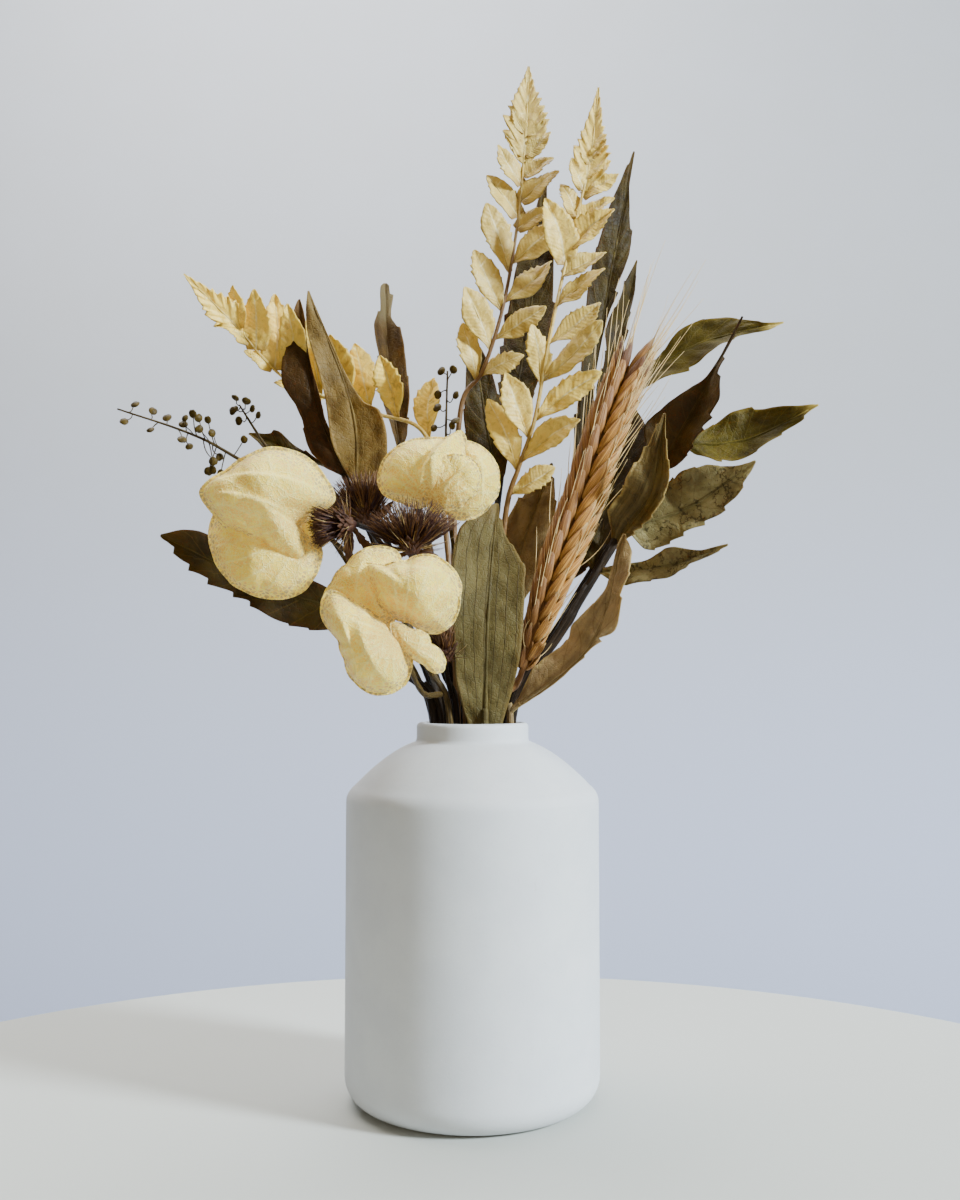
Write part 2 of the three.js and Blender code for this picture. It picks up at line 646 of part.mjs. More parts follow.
// direction is the way a head opens, and spread the widest angle of a bristle from it.
const THISTLES = {
  thistle_left: { base: [-34.5, -38.5, 178], direction: [-1, -0.38, 0], length: 12.5, spread: 0.62, bristles: 18, seed: 3 },
  thistle_middle: { base: [-17.7, -37.5, 168.2], direction: [0, -0.3, 1], length: 15.5, spread: 0.85, bristles: 22, seed: 5 },
  thistle_upper: { base: [-33, -9, 181], direction: [-0.55, -0.1, 1], length: 12, spread: 0.5, bristles: 11, seed: 7 },
  thistle_low: { base: [-8.5, -11, 137], direction: [-0.15, -0.4, 1], length: 12, spread: 0.38, bristles: 10, seed: 9 },
};
const HEAD_FLATNESS = 0.45;   // depth of a pressed head as a share of its width

/** Pressed head of bristles that fan out round its direction from a small core. */
function thistleGeometry({ base, direction, length, spread, bristles, seed }) {
  const random = randomFrom(seed);
  const root = vector(base);
  const axis = vector(direction).normalize();
  const wide = new THREE.Vector3().crossVectors(axis, vector(FRONT)).normalize();
  const deep = new THREE.Vector3().crossVectors(axis, wide);
  const core = new THREE.IcosahedronGeometry(2.7, 0);
  core.translate(...root.clone().addScaledVector(axis, 2.2).toArray());
  const parts = [core];
  for (let k = 0; k < bristles; k += 1) {
    const lean = Math.tan(spread) * Math.sqrt((k + 0.5) / bristles);
    const round = k * 2.39996;
    const aim = axis.clone()
      .addScaledVector(wide, lean * Math.cos(round))
      .addScaledVector(deep, HEAD_FLATNESS * lean * Math.sin(round))
      .normalize();
    const reach = length * (0.85 + 0.2 * random());
    const start = root.clone().addScaledVector(axis, 1).addScaledVector(aim, 2.5);
    parts.push(needle(start, root.clone().addScaledVector(aim, reach), 0.5));
  }
  return fuse(parts);
}

/** Stem of the thistles, with a side branch to each head. */
function thistleStemGeometry() {
  const under = ({ base, direction }) => vector(base)
    .addScaledVector(vector(direction).normalize(), -0.9).toArray();
  const main = rooted([[-5, -4, 119], [-9, -6, 134], [-17, -7, 156]]);
  return fuse([
    tube([...main, [-27, -6, 172], under(THISTLES.thistle_upper)], 1.2, 0.8),
    tube([[-22, -6.6, 164.5], [-27, -20, 175], under(THISTLES.thistle_left)], 0.9, 0.8),
    tube([[-18, -7, 158], [-18, -20, 166], under(THISTLES.thistle_middle)], 0.9, 0.8),
    tube([[-6.6, -4.9, 126], [-7.5, -8.5, 131], under(THISTLES.thistle_low)], 0.8, 0.8),
  ]);
}

// ---------------------------------------------------------------------------------------------
// Pepper-grass sprays
// ---------------------------------------------------------------------------------------------

// A pod is [place along the twig, reach to the left, reach upward].
const SPRAYS = {
  spray_left: {
    twigs: [
      { points: [[-13.2, 1.5, 119], [-33, 2, 157], [-56, 4, 190], [-79, 6, 205], [-93, 4, 212], [-115, 0, 219]], rooted: true },
      { points: [[-56, 4, 190], [-70, 8, 211], [-77, 8, 222]] },
    ],
    pods: [
      [0, 0.95, 3, -3], [0, 0.9, 5, 4], [0, 0.84, 4, -5], [0, 0.84, 1, 7], [0, 0.79, 3, -7], [0, 0.76, 3, 7],
      [0, 0.73, 3, -6], [0, 0.7, -5, 5], [0, 0.66, 5, -4], [1, 0.98, 2, 1], [1, 0.9, -2, 2], [1, 0.7, -3, 2],
    ],
  },
  spray_middle: {
    twigs: [
      { points: [[-1.5, -4, 119], [-4, -2, 160], [-7, -2.5, 180], [-8.5, -2, 205], [-8, -6, 230]], rooted: true },
    ],
    pods: [
      [0, 0.99, 2, 2], [0, 0.98, -2, 3], [0, 0.95, 3, -1], [0, 0.93, -3, 1],
      [0, 0.89, 4, -1], [0, 0.86, -3, 1], [0, 0.82, 3, 2],
    ],
  },
};
const POD_RADIUS = 1.9;
const POD_THICKNESS = 1.3;
const POD_STALK = 0.35;

/** Flat round pod on a thin stalk from a twig. */
function pod(start, centre, face) {
  const line = new THREE.LineCurve3(start, centre);
  const reach = line.getLength();
  const sections = [
    [0, POD_STALK, POD_STALK], [reach - POD_RADIUS, POD_STALK, POD_STALK],
    [reach, POD_RADIUS, 0.5 * POD_THICKNESS], [reach + POD_RADIUS, POD_STALK, POD_STALK],
  ];
  return loft(sections.map(([distance, wide, thin]) => {
    const frame = frameAt(line, 0, face);
    frame.at.addScaledVector(frame.along, distance);
    return [offset(frame, wide, 0), offset(frame, 0, thin), offset(frame, -wide, 0), offset(frame, 0, -thin)];
  }));
}

/** Thin twigs with flat round pods on short stalks. */
function sprayGeometry(spray) {
  const routes = spray.twigs.map((twig) => (twig.rooted ? rooted(twig.points) : twig.points));
  const curves = routes.map(curveThrough);
  const parts = routes.map((points, order) => tube(points, order ? 0.55 : 0.9, 0.4, { sides: 3 }));
  spray.pods.forEach(([twig, t, left, up], order) => {
    const start = curves[twig].getPoint(t);
    const centre = start.clone().add(vector([-left, order % 2 ? -2.5 : 2, up]));
    parts.push(pod(start, centre, [0.5 * ((order % 3) - 1), -1, 0.2]));
  });
  return fuse(parts);
}

// ---------------------------------------------------------------------------------------------
// Assembly
// ---------------------------------------------------------------------------------------------

const FINISHES = {
  ceramic: { color: '#d2d3d5', roughness: 0.85 },
  stem: { color: '#3a2c20', roughness: 0.8 },
  dark_leaf: { color: '#3a2c20', roughness: 0.8 },
  brown_leaf: { color: '#5d4729', roughness: 0.75 },
  olive_leaf: { color: '#6a622c', roughness: 0.6 },
  taupe_leaf: { color: '#938567', roughness: 0.8 },
  straw: { color: '#d6c28c', roughness: 0.7 },
  wheat: { color: '#c1935c', roughness: 0.65 },
  paper: { color: '#ead9a8', roughness: 0.8 },
  purple: { color: '#3d1f24', roughness: 0.8 },
  twig: { color: '#6e5f37', roughness: 0.8 },
};

const LEAF_FINISH = {
  leaf_left_dark: 'dark_leaf', leaf_left_tall: 'taupe_leaf', leaf_back_left: 'dark_leaf',
  leaf_low_left: 'olive_leaf', leaf_small_left: 'dark_leaf', leaf_back_tall: 'olive_leaf',
  leaf_back_dark: 'dark_leaf', leaf_behind_fern: 'dark_leaf', leaf_green_behind: 'olive_leaf',
  leaf_up_right: 'olive_leaf', leaf_spike: 'brown_leaf', leaf_right: 'olive_leaf',
  leaf_mottled: 'taupe_leaf', leaf_grey_low: 'taupe_leaf', leaf_brown_inner: 'brown_leaf',
  leaf_brown_outer: 'brown_leaf', leaf_dark_middle: 'dark_leaf', leaf_front: 'taupe_leaf',
  leaf_curved: 'brown_leaf', leaf_khaki: 'brown_leaf',
};

const group = new THREE.Group();

function addPiece(name, geometry, finish) {
  const mesh = new THREE.Mesh(geometry, new THREE.MeshStandardMaterial({ ...FINISHES[finish], metalness: 0 }));
  mesh.name = name;
  group.add(mesh);
}

addPiece('vase', vaseGeometry(), 'ceramic');
Object.entries(STEMS).forEach(([name, stem]) => addPiece(name, stemGeometry(stem), 'stem'));
Object.entries(LEAVES).forEach(([name, leaf]) => addPiece(name, leafGeometry(leaf), LEAF_FINISH[name]));
Object.entries(STANDING_LEAVES).forEach(([name, leaf]) => {
  addPiece(name, standingLeafGeometry(leaf), LEAF_FINISH[name]);
});
Object.entries(FRONDS).forEach(([name, frond]) => addPiece(name, frondGeometry(frond), 'straw'));
addPiece('wheat_ear', wheatGeometry(), 'wheat');
addPiece('lantern_stem', lanternStemGeometry(), 'twig');
Object.entries(LANTERNS).forEach(([name, lantern]) => addPiece(name, lanternGeometry(lantern), 'paper'));
addPiece('thistle_stem', thistleStemGeometry(), 'stem');
Object.entries(THISTLES).forEach(([name, head]) => addPiece(name, thistleGeometry(head), 'purple'));
Object.entries(SPRAYS).forEach(([name, spray]) => addPiece(name, sprayGeometry(spray), 'twig'));

export default group;
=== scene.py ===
"""A ceramic bottle vase with a bouquet of dried flowers, in fine detail.

Sizes are in millimetres in the vase's own frame: +Z up, the origin under the middle of the vase,
-Y towards the front of the bouquet. Meshes are scaled to metres as they are built.
"""

from __future__ import annotations

import logging
import math
from collections.abc import Iterable, Sequence
from dataclasses import dataclass
from enum import Enum

import bpy
import numpy as np
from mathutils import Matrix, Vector

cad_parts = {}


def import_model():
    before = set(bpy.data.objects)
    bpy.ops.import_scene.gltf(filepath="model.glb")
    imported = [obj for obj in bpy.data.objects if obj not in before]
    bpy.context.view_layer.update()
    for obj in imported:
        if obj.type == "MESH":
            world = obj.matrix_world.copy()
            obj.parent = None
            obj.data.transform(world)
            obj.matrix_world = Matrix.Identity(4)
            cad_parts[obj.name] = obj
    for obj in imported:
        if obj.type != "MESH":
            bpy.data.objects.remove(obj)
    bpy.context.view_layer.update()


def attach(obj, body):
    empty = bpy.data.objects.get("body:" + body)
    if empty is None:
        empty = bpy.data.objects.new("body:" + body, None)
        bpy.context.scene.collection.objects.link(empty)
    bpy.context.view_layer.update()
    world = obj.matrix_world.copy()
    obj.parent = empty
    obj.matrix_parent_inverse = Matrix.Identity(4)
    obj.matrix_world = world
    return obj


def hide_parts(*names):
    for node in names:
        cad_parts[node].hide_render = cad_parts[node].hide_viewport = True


LOG = logging.getLogger("dried_flowers")
MM = 0.001
FRONT = (0.0, -1.0, 0.0)
UPWARD = (0.0, 0.0, 1.0)
GOLDEN_ANGLE = 2.39996
LENGTH_STEPS = 200
SEARCH_STEPS = 401

Array = np.ndarray
Random = np.random.Generator
Pair = tuple[float, float]
Point = tuple[float, float, float]
Colour = tuple[float, float, float]
Profile = tuple[Pair, ...]
Line = tuple[Point, ...]
Socket = bpy.types.NodeSocket
Material = bpy.types.Material


# ---- Curves and numbers ----


def unit(vectors: Array) -> Array:
    """Vectors scaled to length one along the last axis."""
    return vectors / np.maximum(np.linalg.norm(vectors, axis=-1, keepdims=True), 1e-9)


def eased(t: Array, low: float, high: float) -> Array:
    """Smooth step from 0 at low to 1 at high."""
    share = np.clip((t - low) / (high - low), 0.0, 1.0)
    return share * share * (3.0 - 2.0 * share)


def through(t: Array, profile: Profile) -> Array:
    """Smooth curve through a profile's points that never swings past them.

    Args:
        t: Places to read the curve at.
        profile: Pairs of place and value, in order of place.

    Returns:
        The values at those places.
    """
    xs, ys = (np.array(column, float) for column in zip(*profile))
    steps = np.diff(xs)
    slopes = np.diff(ys) / steps
    product = slopes[:-1] * slopes[1:]
    total = slopes[:-1] + slopes[1:]
    inner = np.where(product > 0, 2.0 * product / np.where(total == 0, 1.0, total), 0.0)
    rates = np.concatenate([[slopes[0]], inner, [slopes[-1]]])
    i = np.clip(np.searchsorted(xs, t, side="right") - 1, 0, len(steps) - 1)
    w = np.clip((t - xs[i]) / steps[i], 0.0, 1.0)
    rise = ys[i + 1] - ys[i]
    start, end = rates[i] * steps[i], rates[i + 1] * steps[i]
    return ys[i] + w * (start + w * (3 * rise - 2 * start - end + w * (start + end - 2 * rise)))


def wrinkle(x: Array, y: Array, seed: int, waves: int = 5) -> Array:
    """Repeatable uneven waves between about -1 and 1 over two coordinates.

    Args:
        x: First coordinate.
        y: Second coordinate.
        seed: Seed of the waves.
        waves: How many are added.

    Returns:
        The sum of the waves at each place.
    """
    random = np.random.default_rng(seed)
    total = np.zeros(np.broadcast(x, y).shape)
    for order in range(waves):
        heading = random.uniform(0, 2 * math.pi)
        rate = 1.0 + 0.7 * order
        phase = random.uniform(0, 2 * math.pi)
        run = x * math.cos(heading) + y * math.sin(heading)
        total = total + np.sin(rate * run + phase) / (1 + 0.5 * order)
    return total / 2.2


@dataclass
class Frames:
    """Places on a curve with the direction along it, its upper side and the direction across."""

    at: Array
    along: Array
    up: Array
    across: Array

    def offset(self, side: Array, rise: Array) -> Array:
        """Points at sideways and upward distances, one row of them for each frame."""
        return self.at[:, None] + side[..., None] * self.across[:, None] + rise[..., None] * self.up[:, None]

    def first(self) -> tuple[Array, ...]:
        """Place, direction along, direction of the face and direction across of the first frame."""
        return self.at[0], self.along[0], self.up[0], self.across[0]

    def ridge(self, drop: float, every: int) -> Path:
        """Line at a distance under the middle of a blade, through every so many frames."""
        rows = len(self.at)
        return Path(self.offset(np.zeros((rows, 1)), np.full((rows, 1), -drop))[::every, 0])


class Path:
    """Smooth curve through points, each reached at an even step of its parameter."""

    def __init__(self, points: Sequence[Sequence[float]]) -> None:
        """Keeps the points that the curve runs through."""
        self.points = np.array(points, float)

    def at(self, t: Array | float) -> Array:
        """Points at shares of the curve from 0 to 1."""
        spans = len(self.points) - 1
        first = 2 * self.points[0] - self.points[1]
        last = 2 * self.points[-1] - self.points[-2]
        padded = np.vstack([first, self.points, last])
        place = np.clip(np.asarray(t, float), 0.0, 1.0) * spans
        i = np.minimum(place.astype(int), spans - 1)
        w = (place - i)[..., None]
        before, start, end, after = (padded[i + k] for k in range(4))
        v0, v1 = (end - before) / 2, (after - start) / 2
        cubic = 2 * start - 2 * end + v0 + v1
        square = 3 * end - 3 * start - 2 * v0 - v1
        return cubic * w**3 + square * w**2 + v0 * w + start

    def length(self) -> float:
        """Length of the curve."""
        points = self.at(np.linspace(0, 1, LENGTH_STEPS))
        return float(np.linalg.norm(np.diff(points, axis=0), axis=1).sum())

    def frames(self, t: Array | float, face: Sequence[float]) -> Frames:
        """Frames on the curve whose upper side looks towards face.

        Args:
            t: Shares of the curve.
            face: Direction that the upper side turns to.

        Returns:
            One frame for each share.
        """
        t = np.atleast_1d(np.asarray(t, float))
        step = 1e-3
        face = np.array(face, float)
        along = unit(self.at(np.minimum(t + step, 1)) - self.at(np.maximum(t - step, 0)))
        up = unit(face - along * (along @ face)[:, None])
        return Frames(self.at(t), along, up, np.cross(up, along))

    def nearest(self, point: Sequence[float]) -> float:
        """Share of the curve that lies nearest to a point."""
        t = np.linspace(0, 1, SEARCH_STEPS)
        return float(t[np.linalg.norm(self.at(t) - np.array(point), axis=1).argmin()])


# ---- Meshes ----


class Value(Enum):
    """Number kept at each vertex for the finishes to read."""

    ALONG = "along"
    ACROSS = "across"
    RIB = "rib"
    TINT = "tint"


Values = dict[Value, Array | float]


def spread(given: Array | float, rows: int, columns: int) -> Array:
    """Value of every point of a grid, as one flat row."""
    return np.broadcast_to(np.asarray(given, float), (rows, columns)).reshape(-1)


class PieceMesh:
    """Vertices, faces and surface values of one piece, gathered part by part."""

    def __init__(self) -> None:
        """Starts with nothing in the piece."""
        self.points: list[Array] = []
        self.faces: list[Array] = []
        self.values: dict[Value, list[Array]] = {value: [] for value in Value}
        self.count = 0

    def add(self, points: Array, faces: Iterable[Array], values: Values) -> None:
        """Adds one part.

        Args:
            points: Vertices, one row each.
            faces: Arrays of vertex numbers, one row for each face.
            values: Surface values of the vertices; those left out are 0.
        """
        for block in faces:
            self.faces.append(block + self.count)
        self.points.append(points)
        for value in Value:
            given = values.get(value, 0.0)
            self.values[value].append(np.broadcast_to(np.asarray(given, float), (len(points),)))
        self.count += len(points)

    def sheet(self, grid: Array, thickness: Array | float, values: Values) -> None:
        """Adds a closed thin sheet round a grid of middle points.

        Args:
            grid: Middle surface as rows by columns of points.
            thickness: Thickness, the same all over or one for each point.
            values: Surface values on the same grid.
        """
        rows, columns = grid.shape[:2]
        down = np.gradient(grid, axis=0)
        side = np.gradient(grid, axis=1)
        normal = unit(np.cross(side, down))
        half = 0.5 * np.broadcast_to(np.asarray(thickness, float), (rows, columns))[..., None] * normal
        points = np.concatenate([(grid + half).reshape(-1, 3), (grid - half).reshape(-1, 3)])
        number = np.arange(rows * columns).reshape(rows, columns)
        a, b, c, d = number[:-1, :-1], number[:-1, 1:], number[1:, 1:], number[1:, :-1]
        top = np.stack([a, b, c, d], -1).reshape(-1, 4)
        bottom = np.stack([d, c, b, a], -1).reshape(-1, 4) + rows * columns
        rim = np.concatenate([number[0, :-1], number[:-1, -1], number[-1, :0:-1], number[:0:-1, 0]])
        after = np.roll(rim, -1)
        wall = np.stack([after, rim, rim + rows * columns, after + rows * columns], -1)
        doubled = {value: np.tile(spread(given, rows, columns), 2) for value, given in values.items()}
        self.add(points, [top, bottom, wall], doubled)

    def blade(self, grid: Array, thickness: Array | float, lean: Array, u: Array,
              tint: float) -> None:
        """Adds a thin blade.

        Args:
            grid: Middle surface, rows along the blade by columns from its right edge to its left.
            thickness: Thickness, given from the left edge to the right.
            lean: Share of the length at each point.
            u: Share of the width in each column, -1 at the right edge and 1 at the left.
            tint: Tint of the whole blade.
        """
        values = {Value.ALONG: lean, Value.ACROSS: u[None, ::-1], Value.TINT: tint}
        self.sheet(grid[:, ::-1], thickness, values)

    def rings(self, grid: Array, values: Values) -> None:
        """Adds a closed body through rings of points.

        Args:
            grid: Rings by points round each ring.
            values: Surface values on the same grid.
        """
        count, sides = grid.shape[:2]
        number = np.arange(count * sides).reshape(count, sides)
        turned = np.roll(number, -1, axis=1)
        skin = np.stack([number[:-1], turned[:-1], turned[1:], number[1:]], -1).reshape(-1, 4)
        caps = [number[:1, ::-1], number[-1:]]
        flat = {value: spread(given, count, sides) for value, given in values.items()}
        self.add(grid.reshape(-1, 3), [skin, *caps], flat)

    def tube(self, path: Path, radius: Profile, sides: int, rows: int, tint: float = 0.0,
             rough: float = 0.0, seed: int = 0, span: Pair = (0.0, 1.0)) -> None:
        """Adds a round stem along a path.

        Args:
            path: Middle line.
            radius: Radius against the share of the path.
            sides: Points round a ring.
            rows: Number of rings.
            tint: Tint of the whole stem.
            rough: Unevenness of the surface as a share of the radius.
            seed: Seed of the unevenness.
            span: Stretch of the path that the stem covers.
        """
        t = np.linspace(*span, rows)
        level = abs(path.points[-1][2] - path.points[0][2]) <= 1e-6
        frames = path.frames(t, UPWARD if level else FRONT)
        angle = np.linspace(0, 2 * math.pi, sides, endpoint=False)
        size = through(t, radius)[:, None] * np.ones(sides)
        if rough:
            size = size * (1 + rough * wrinkle(40 * t[:, None], 2 * np.cos(angle), seed))
        grid = frames.offset(size * np.cos(angle), size * np.sin(angle))
        around = np.cos(angle[::-1])
        self.rings(grid[:, ::-1], {Value.ALONG: t[:, None], Value.ACROSS: around, Value.TINT: tint})

    def needle(self, base: Array, tip: Array, bend: Array, radius: float, tint: float,
               rows: int, end: float = 0.15) -> None:
        """Adds a fine three-sided needle that bends on its way from base to tip.

        Args:
            base: Where it starts.
            tip: Where it ends.
            bend: How far its middle leaves the straight line.
            radius: Radius at the base.
            tint: Tint of the whole needle.
            rows: Number of rings.
            end: Radius at the tip as a share of that at the base.
        """
        t = np.linspace(0, 1, rows)[:, None]
        middle = base + (tip - base) * t + bend * (4 * t * (1 - t))
        along = unit(np.gradient(middle, axis=0))
        helper = np.array([1.0, 0.0, 0.0]) if abs(along[0][2]) > 0.8 else np.array(UPWARD)
        across = unit(np.cross(along, helper))
        up = np.cross(across, along)
        angle = np.array([0.0, 2.0, 4.0]) * math.pi / 3
        size = radius * (1 - (1 - end) * t)
        ring = np.cos(angle)[None, :, None] * across[:, None] + np.sin(angle)[None, :, None] * up[:, None]
        grid = middle[:, None] + size[:, None] * ring
        self.rings(grid[:, ::-1], {Value.ALONG: t, Value.TINT: tint})

    def build(self, name: str, material: Material) -> bpy.types.Object:
        """Makes the piece's object in metres, with its values as attributes.

        Args:
            name: Name of the piece.
            material: Finish of the whole piece.

        Returns:
            The object, linked to the scene.
        """
        points = np.concatenate(self.points) * MM
        mesh = bpy.data.meshes.new(name)
        faces = [tuple(row) for block in self.faces for row in block.tolist()]
        mesh.from_pydata(points.tolist(), [], faces)
        for value, blocks in self.values.items():
            attribute = mesh.attributes.new(value.value, "FLOAT", "POINT")
            attribute.data.foreach_set("value", np.concatenate(blocks).astype(np.float32))
        mesh.polygons.foreach_set("use_smooth", np.ones(len(mesh.polygons), bool))
        mesh.materials.append(material)
        mesh.update()
        piece = bpy.data.objects.new(name, mesh)
        bpy.context.scene.collection.objects.link(piece)
        return piece


def keep(mesh: PieceMesh, node: str, slot: str, material: Material) -> None:
    """Builds a finished piece in the place of its node, riding on the vase's body.

    Args:
        mesh: The gathered mesh.
        node: Node that the piece replaces.
        slot: Name of its material slot, only written to the log.
        material: Finish of the piece.
    """
    piece = mesh.build(f"{node}_fine", material)
    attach(piece, "root")
    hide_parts(node)
    LOG.info("%s: %d faces, slot %s", piece.name, len(piece.data.polygons), slot)


# ---- Finishes ----


def rgb(red: int, green: int, blue: int) -> Colour:
    """Scene colour of a display colour given from 0 to 255."""
    shares = (value / 255 for value in (red, green, blue))
    return tuple(c / 12.92 if c <= 0.04045 else ((c + 0.055) / 1.055) ** 2.4 for c in shares)


def darker(colour: Colour, share: float) -> Colour:
    """Share of a colour."""
    return tuple(share * c for c in colour)


class Sketch:
    """The nodes of one material, laid out call by call."""

    def __init__(self, name: str, roughness: float, specular: float) -> None:
        """Starts a material with a plain surface."""
        self.material = bpy.data.materials.new(name)
        self.material.use_nodes = True
        self.tree = self.material.node_tree
        self.shader = self.tree.nodes["Principled BSDF"]
        self.put(self.shader.inputs["Roughness"], roughness)
        self.put(self.shader.inputs["Specular IOR Level"], specular)
        self.place = self.node("TexCoord", {}).outputs["Object"]

    def put(self, socket: Socket, value: object) -> None:
        """Links a socket to another or sets its number or colour."""
        if isinstance(value, Socket):
            self.tree.links.new(value, socket)
        elif isinstance(value, tuple) and socket.type == "RGBA":
            socket.default_value = (*value, 1.0)
        else:
            socket.default_value = value

    def node(self, kind: str, inputs: dict[int | str, object]) -> bpy.types.Node:
        """Adds a node and fills its inputs.

        Args:
            kind: Type of the node, without the word that all types begin with.
            inputs: Numbers, colours or sockets by the input's name or place.

        Returns:
            The node.
        """
        node = self.tree.nodes.new(f"ShaderNode{kind}")
        if kind == "Mix":
            node.data_type = "RGBA"
        for socket, value in inputs.items():
            self.put(node.inputs[socket], value)
        return node

    def value(self, name: Value) -> Socket:
        """Number kept at the vertices."""
        node = self.node("Attribute", {})
        node.attribute_name = name.value
        return node.outputs["Fac"]

    def strip(self, across: float, along: float) -> Socket:
        """Coordinates that run with a blade or a husk, for streaks along it."""
        parts = ((Value.ACROSS, across), (Value.ALONG, along), (Value.TINT, 37.0))
        inputs = {i: self.times(self.value(name), scale) for i, (name, scale) in enumerate(parts)}
        return self.node("CombineXYZ", inputs).outputs[0]

    def noise(self, size: float, detail: float = 4.0, rough: float = 0.55, twist: float = 0.0,
              place: Socket | None = None) -> Socket:
        """Soft uneven pattern with features of a size, in millimetres unless coordinates are given."""
        return self.node("TexNoise", {
            "Vector": self.place if place is None else place,
            "Scale": (1.0 if place is not None else 1.0 / MM) / size,
            "Detail": detail, "Roughness": rough, "Distortion": twist,
        }).outputs["Fac"]

    def cells(self, size: float) -> Socket:
        """Distance from the edges of cells of a size in millimetres, as in a net of veins."""
        node = self.node("TexVoronoi", {"Vector": self.place, "Scale": 1.0 / MM / size})
        node.feature = "DISTANCE_TO_EDGE"
        return node.outputs["Distance"]

    def math(self, operation: str, a: object, b: object = 0.0) -> Socket:
        """Result of one operation on numbers or sockets."""
        node = self.node("Math", {0: a, 1: b})
        node.operation = operation
        return node.outputs[0]

    def times(self, a: object, b: object) -> Socket:
        """Product of two numbers or sockets."""
        return self.math("MULTIPLY", a, b)

    def plus(self, a: object, b: object) -> Socket:
        """Sum of two numbers or sockets."""
        return self.math("ADD", a, b)

    def unsigned(self, value: object) -> Socket:
        """Value without its sign."""
        return self.math("ABSOLUTE", value)

    def span(self, value: object, low: float, high: float, first: float = 0.0, last: float = 1.0) -> Socket:
        """Value stretched from the range low to high onto first to last, and held inside it."""
        node = self.node("MapRange", {
            "Value": value, "From Min": low, "From Max": high, "To Min": first, "To Max": last,
        })
        node.interpolation_type = "SMOOTHSTEP"
        return node.outputs["Result"]

    def mix(self, share: object, a: object, b: object) -> Socket:
        """Colour between two colours."""
        return self.node("Mix", {"Factor": share, 6: a, 7: b}).outputs[2]

    def coat(self, under: object, over: object, value: object, *span: float) -> Socket:
        """Colour covered by another as far as the span of a value says."""
        return self.mix(self.span(value, *span), under, over)

    def colour(self, value: Socket) -> None:
        """Sets the surface's colour."""
        self.put(self.shader.inputs["Base Color"], value)

    def bump(self, height: object, depth: float) -> None:
        """Gives the surface fine relief of a depth in millimetres."""
        node = self.node("Bump", {"Strength": 1.0, "Distance": depth * MM, "Height": height})
        self.put(self.shader.inputs["Normal"], node.outputs["Normal"])

    def glow(self, weight: float, reach: Point, depth: float) -> None:
        """Lets light through the skin, to a depth in millimetres and by a share for each colour."""
        self.put(self.shader.inputs["Subsurface Weight"], weight)
        self.put(self.shader.inputs["Subsurface Radius"], reach)
        self.put(self.shader.inputs["Subsurface Scale"], depth * MM)


@dataclass(frozen=True)
class CeramicFinish:
    """Chalky unglazed porcelain with tiny pits."""

    name: str = "chalky_ceramic"
    base: Colour = rgb(208, 211, 214)
    shade: Colour = rgb(203, 206, 210)
    fleck: Colour = rgb(196, 195, 190)

    def build(self) -> Material:
        """Makes the material."""
        sketch = Sketch(self.name, 0.62, 0.25)
        cloud = sketch.span(sketch.noise(14.0, 5.0), 0.35, 0.65)
        fleck = sketch.span(sketch.noise(0.7, 3.0), 0.62, 0.72, 0.0, 0.25)
        sketch.colour(sketch.mix(fleck, sketch.mix(cloud, self.shade, self.base), self.fleck))
        pits = sketch.span(sketch.noise(0.55, 2.0), 0.66, 0.74, 0.0, -1.0)
        sketch.bump(sketch.plus(sketch.times(sketch.noise(1.6, 5.0), 0.5), pits), 0.07)
        return sketch.material


class VeinPattern(Enum):
    """How the veins of a leaf run."""

    PINNATE = "pinnate"
    PARALLEL = "parallel"


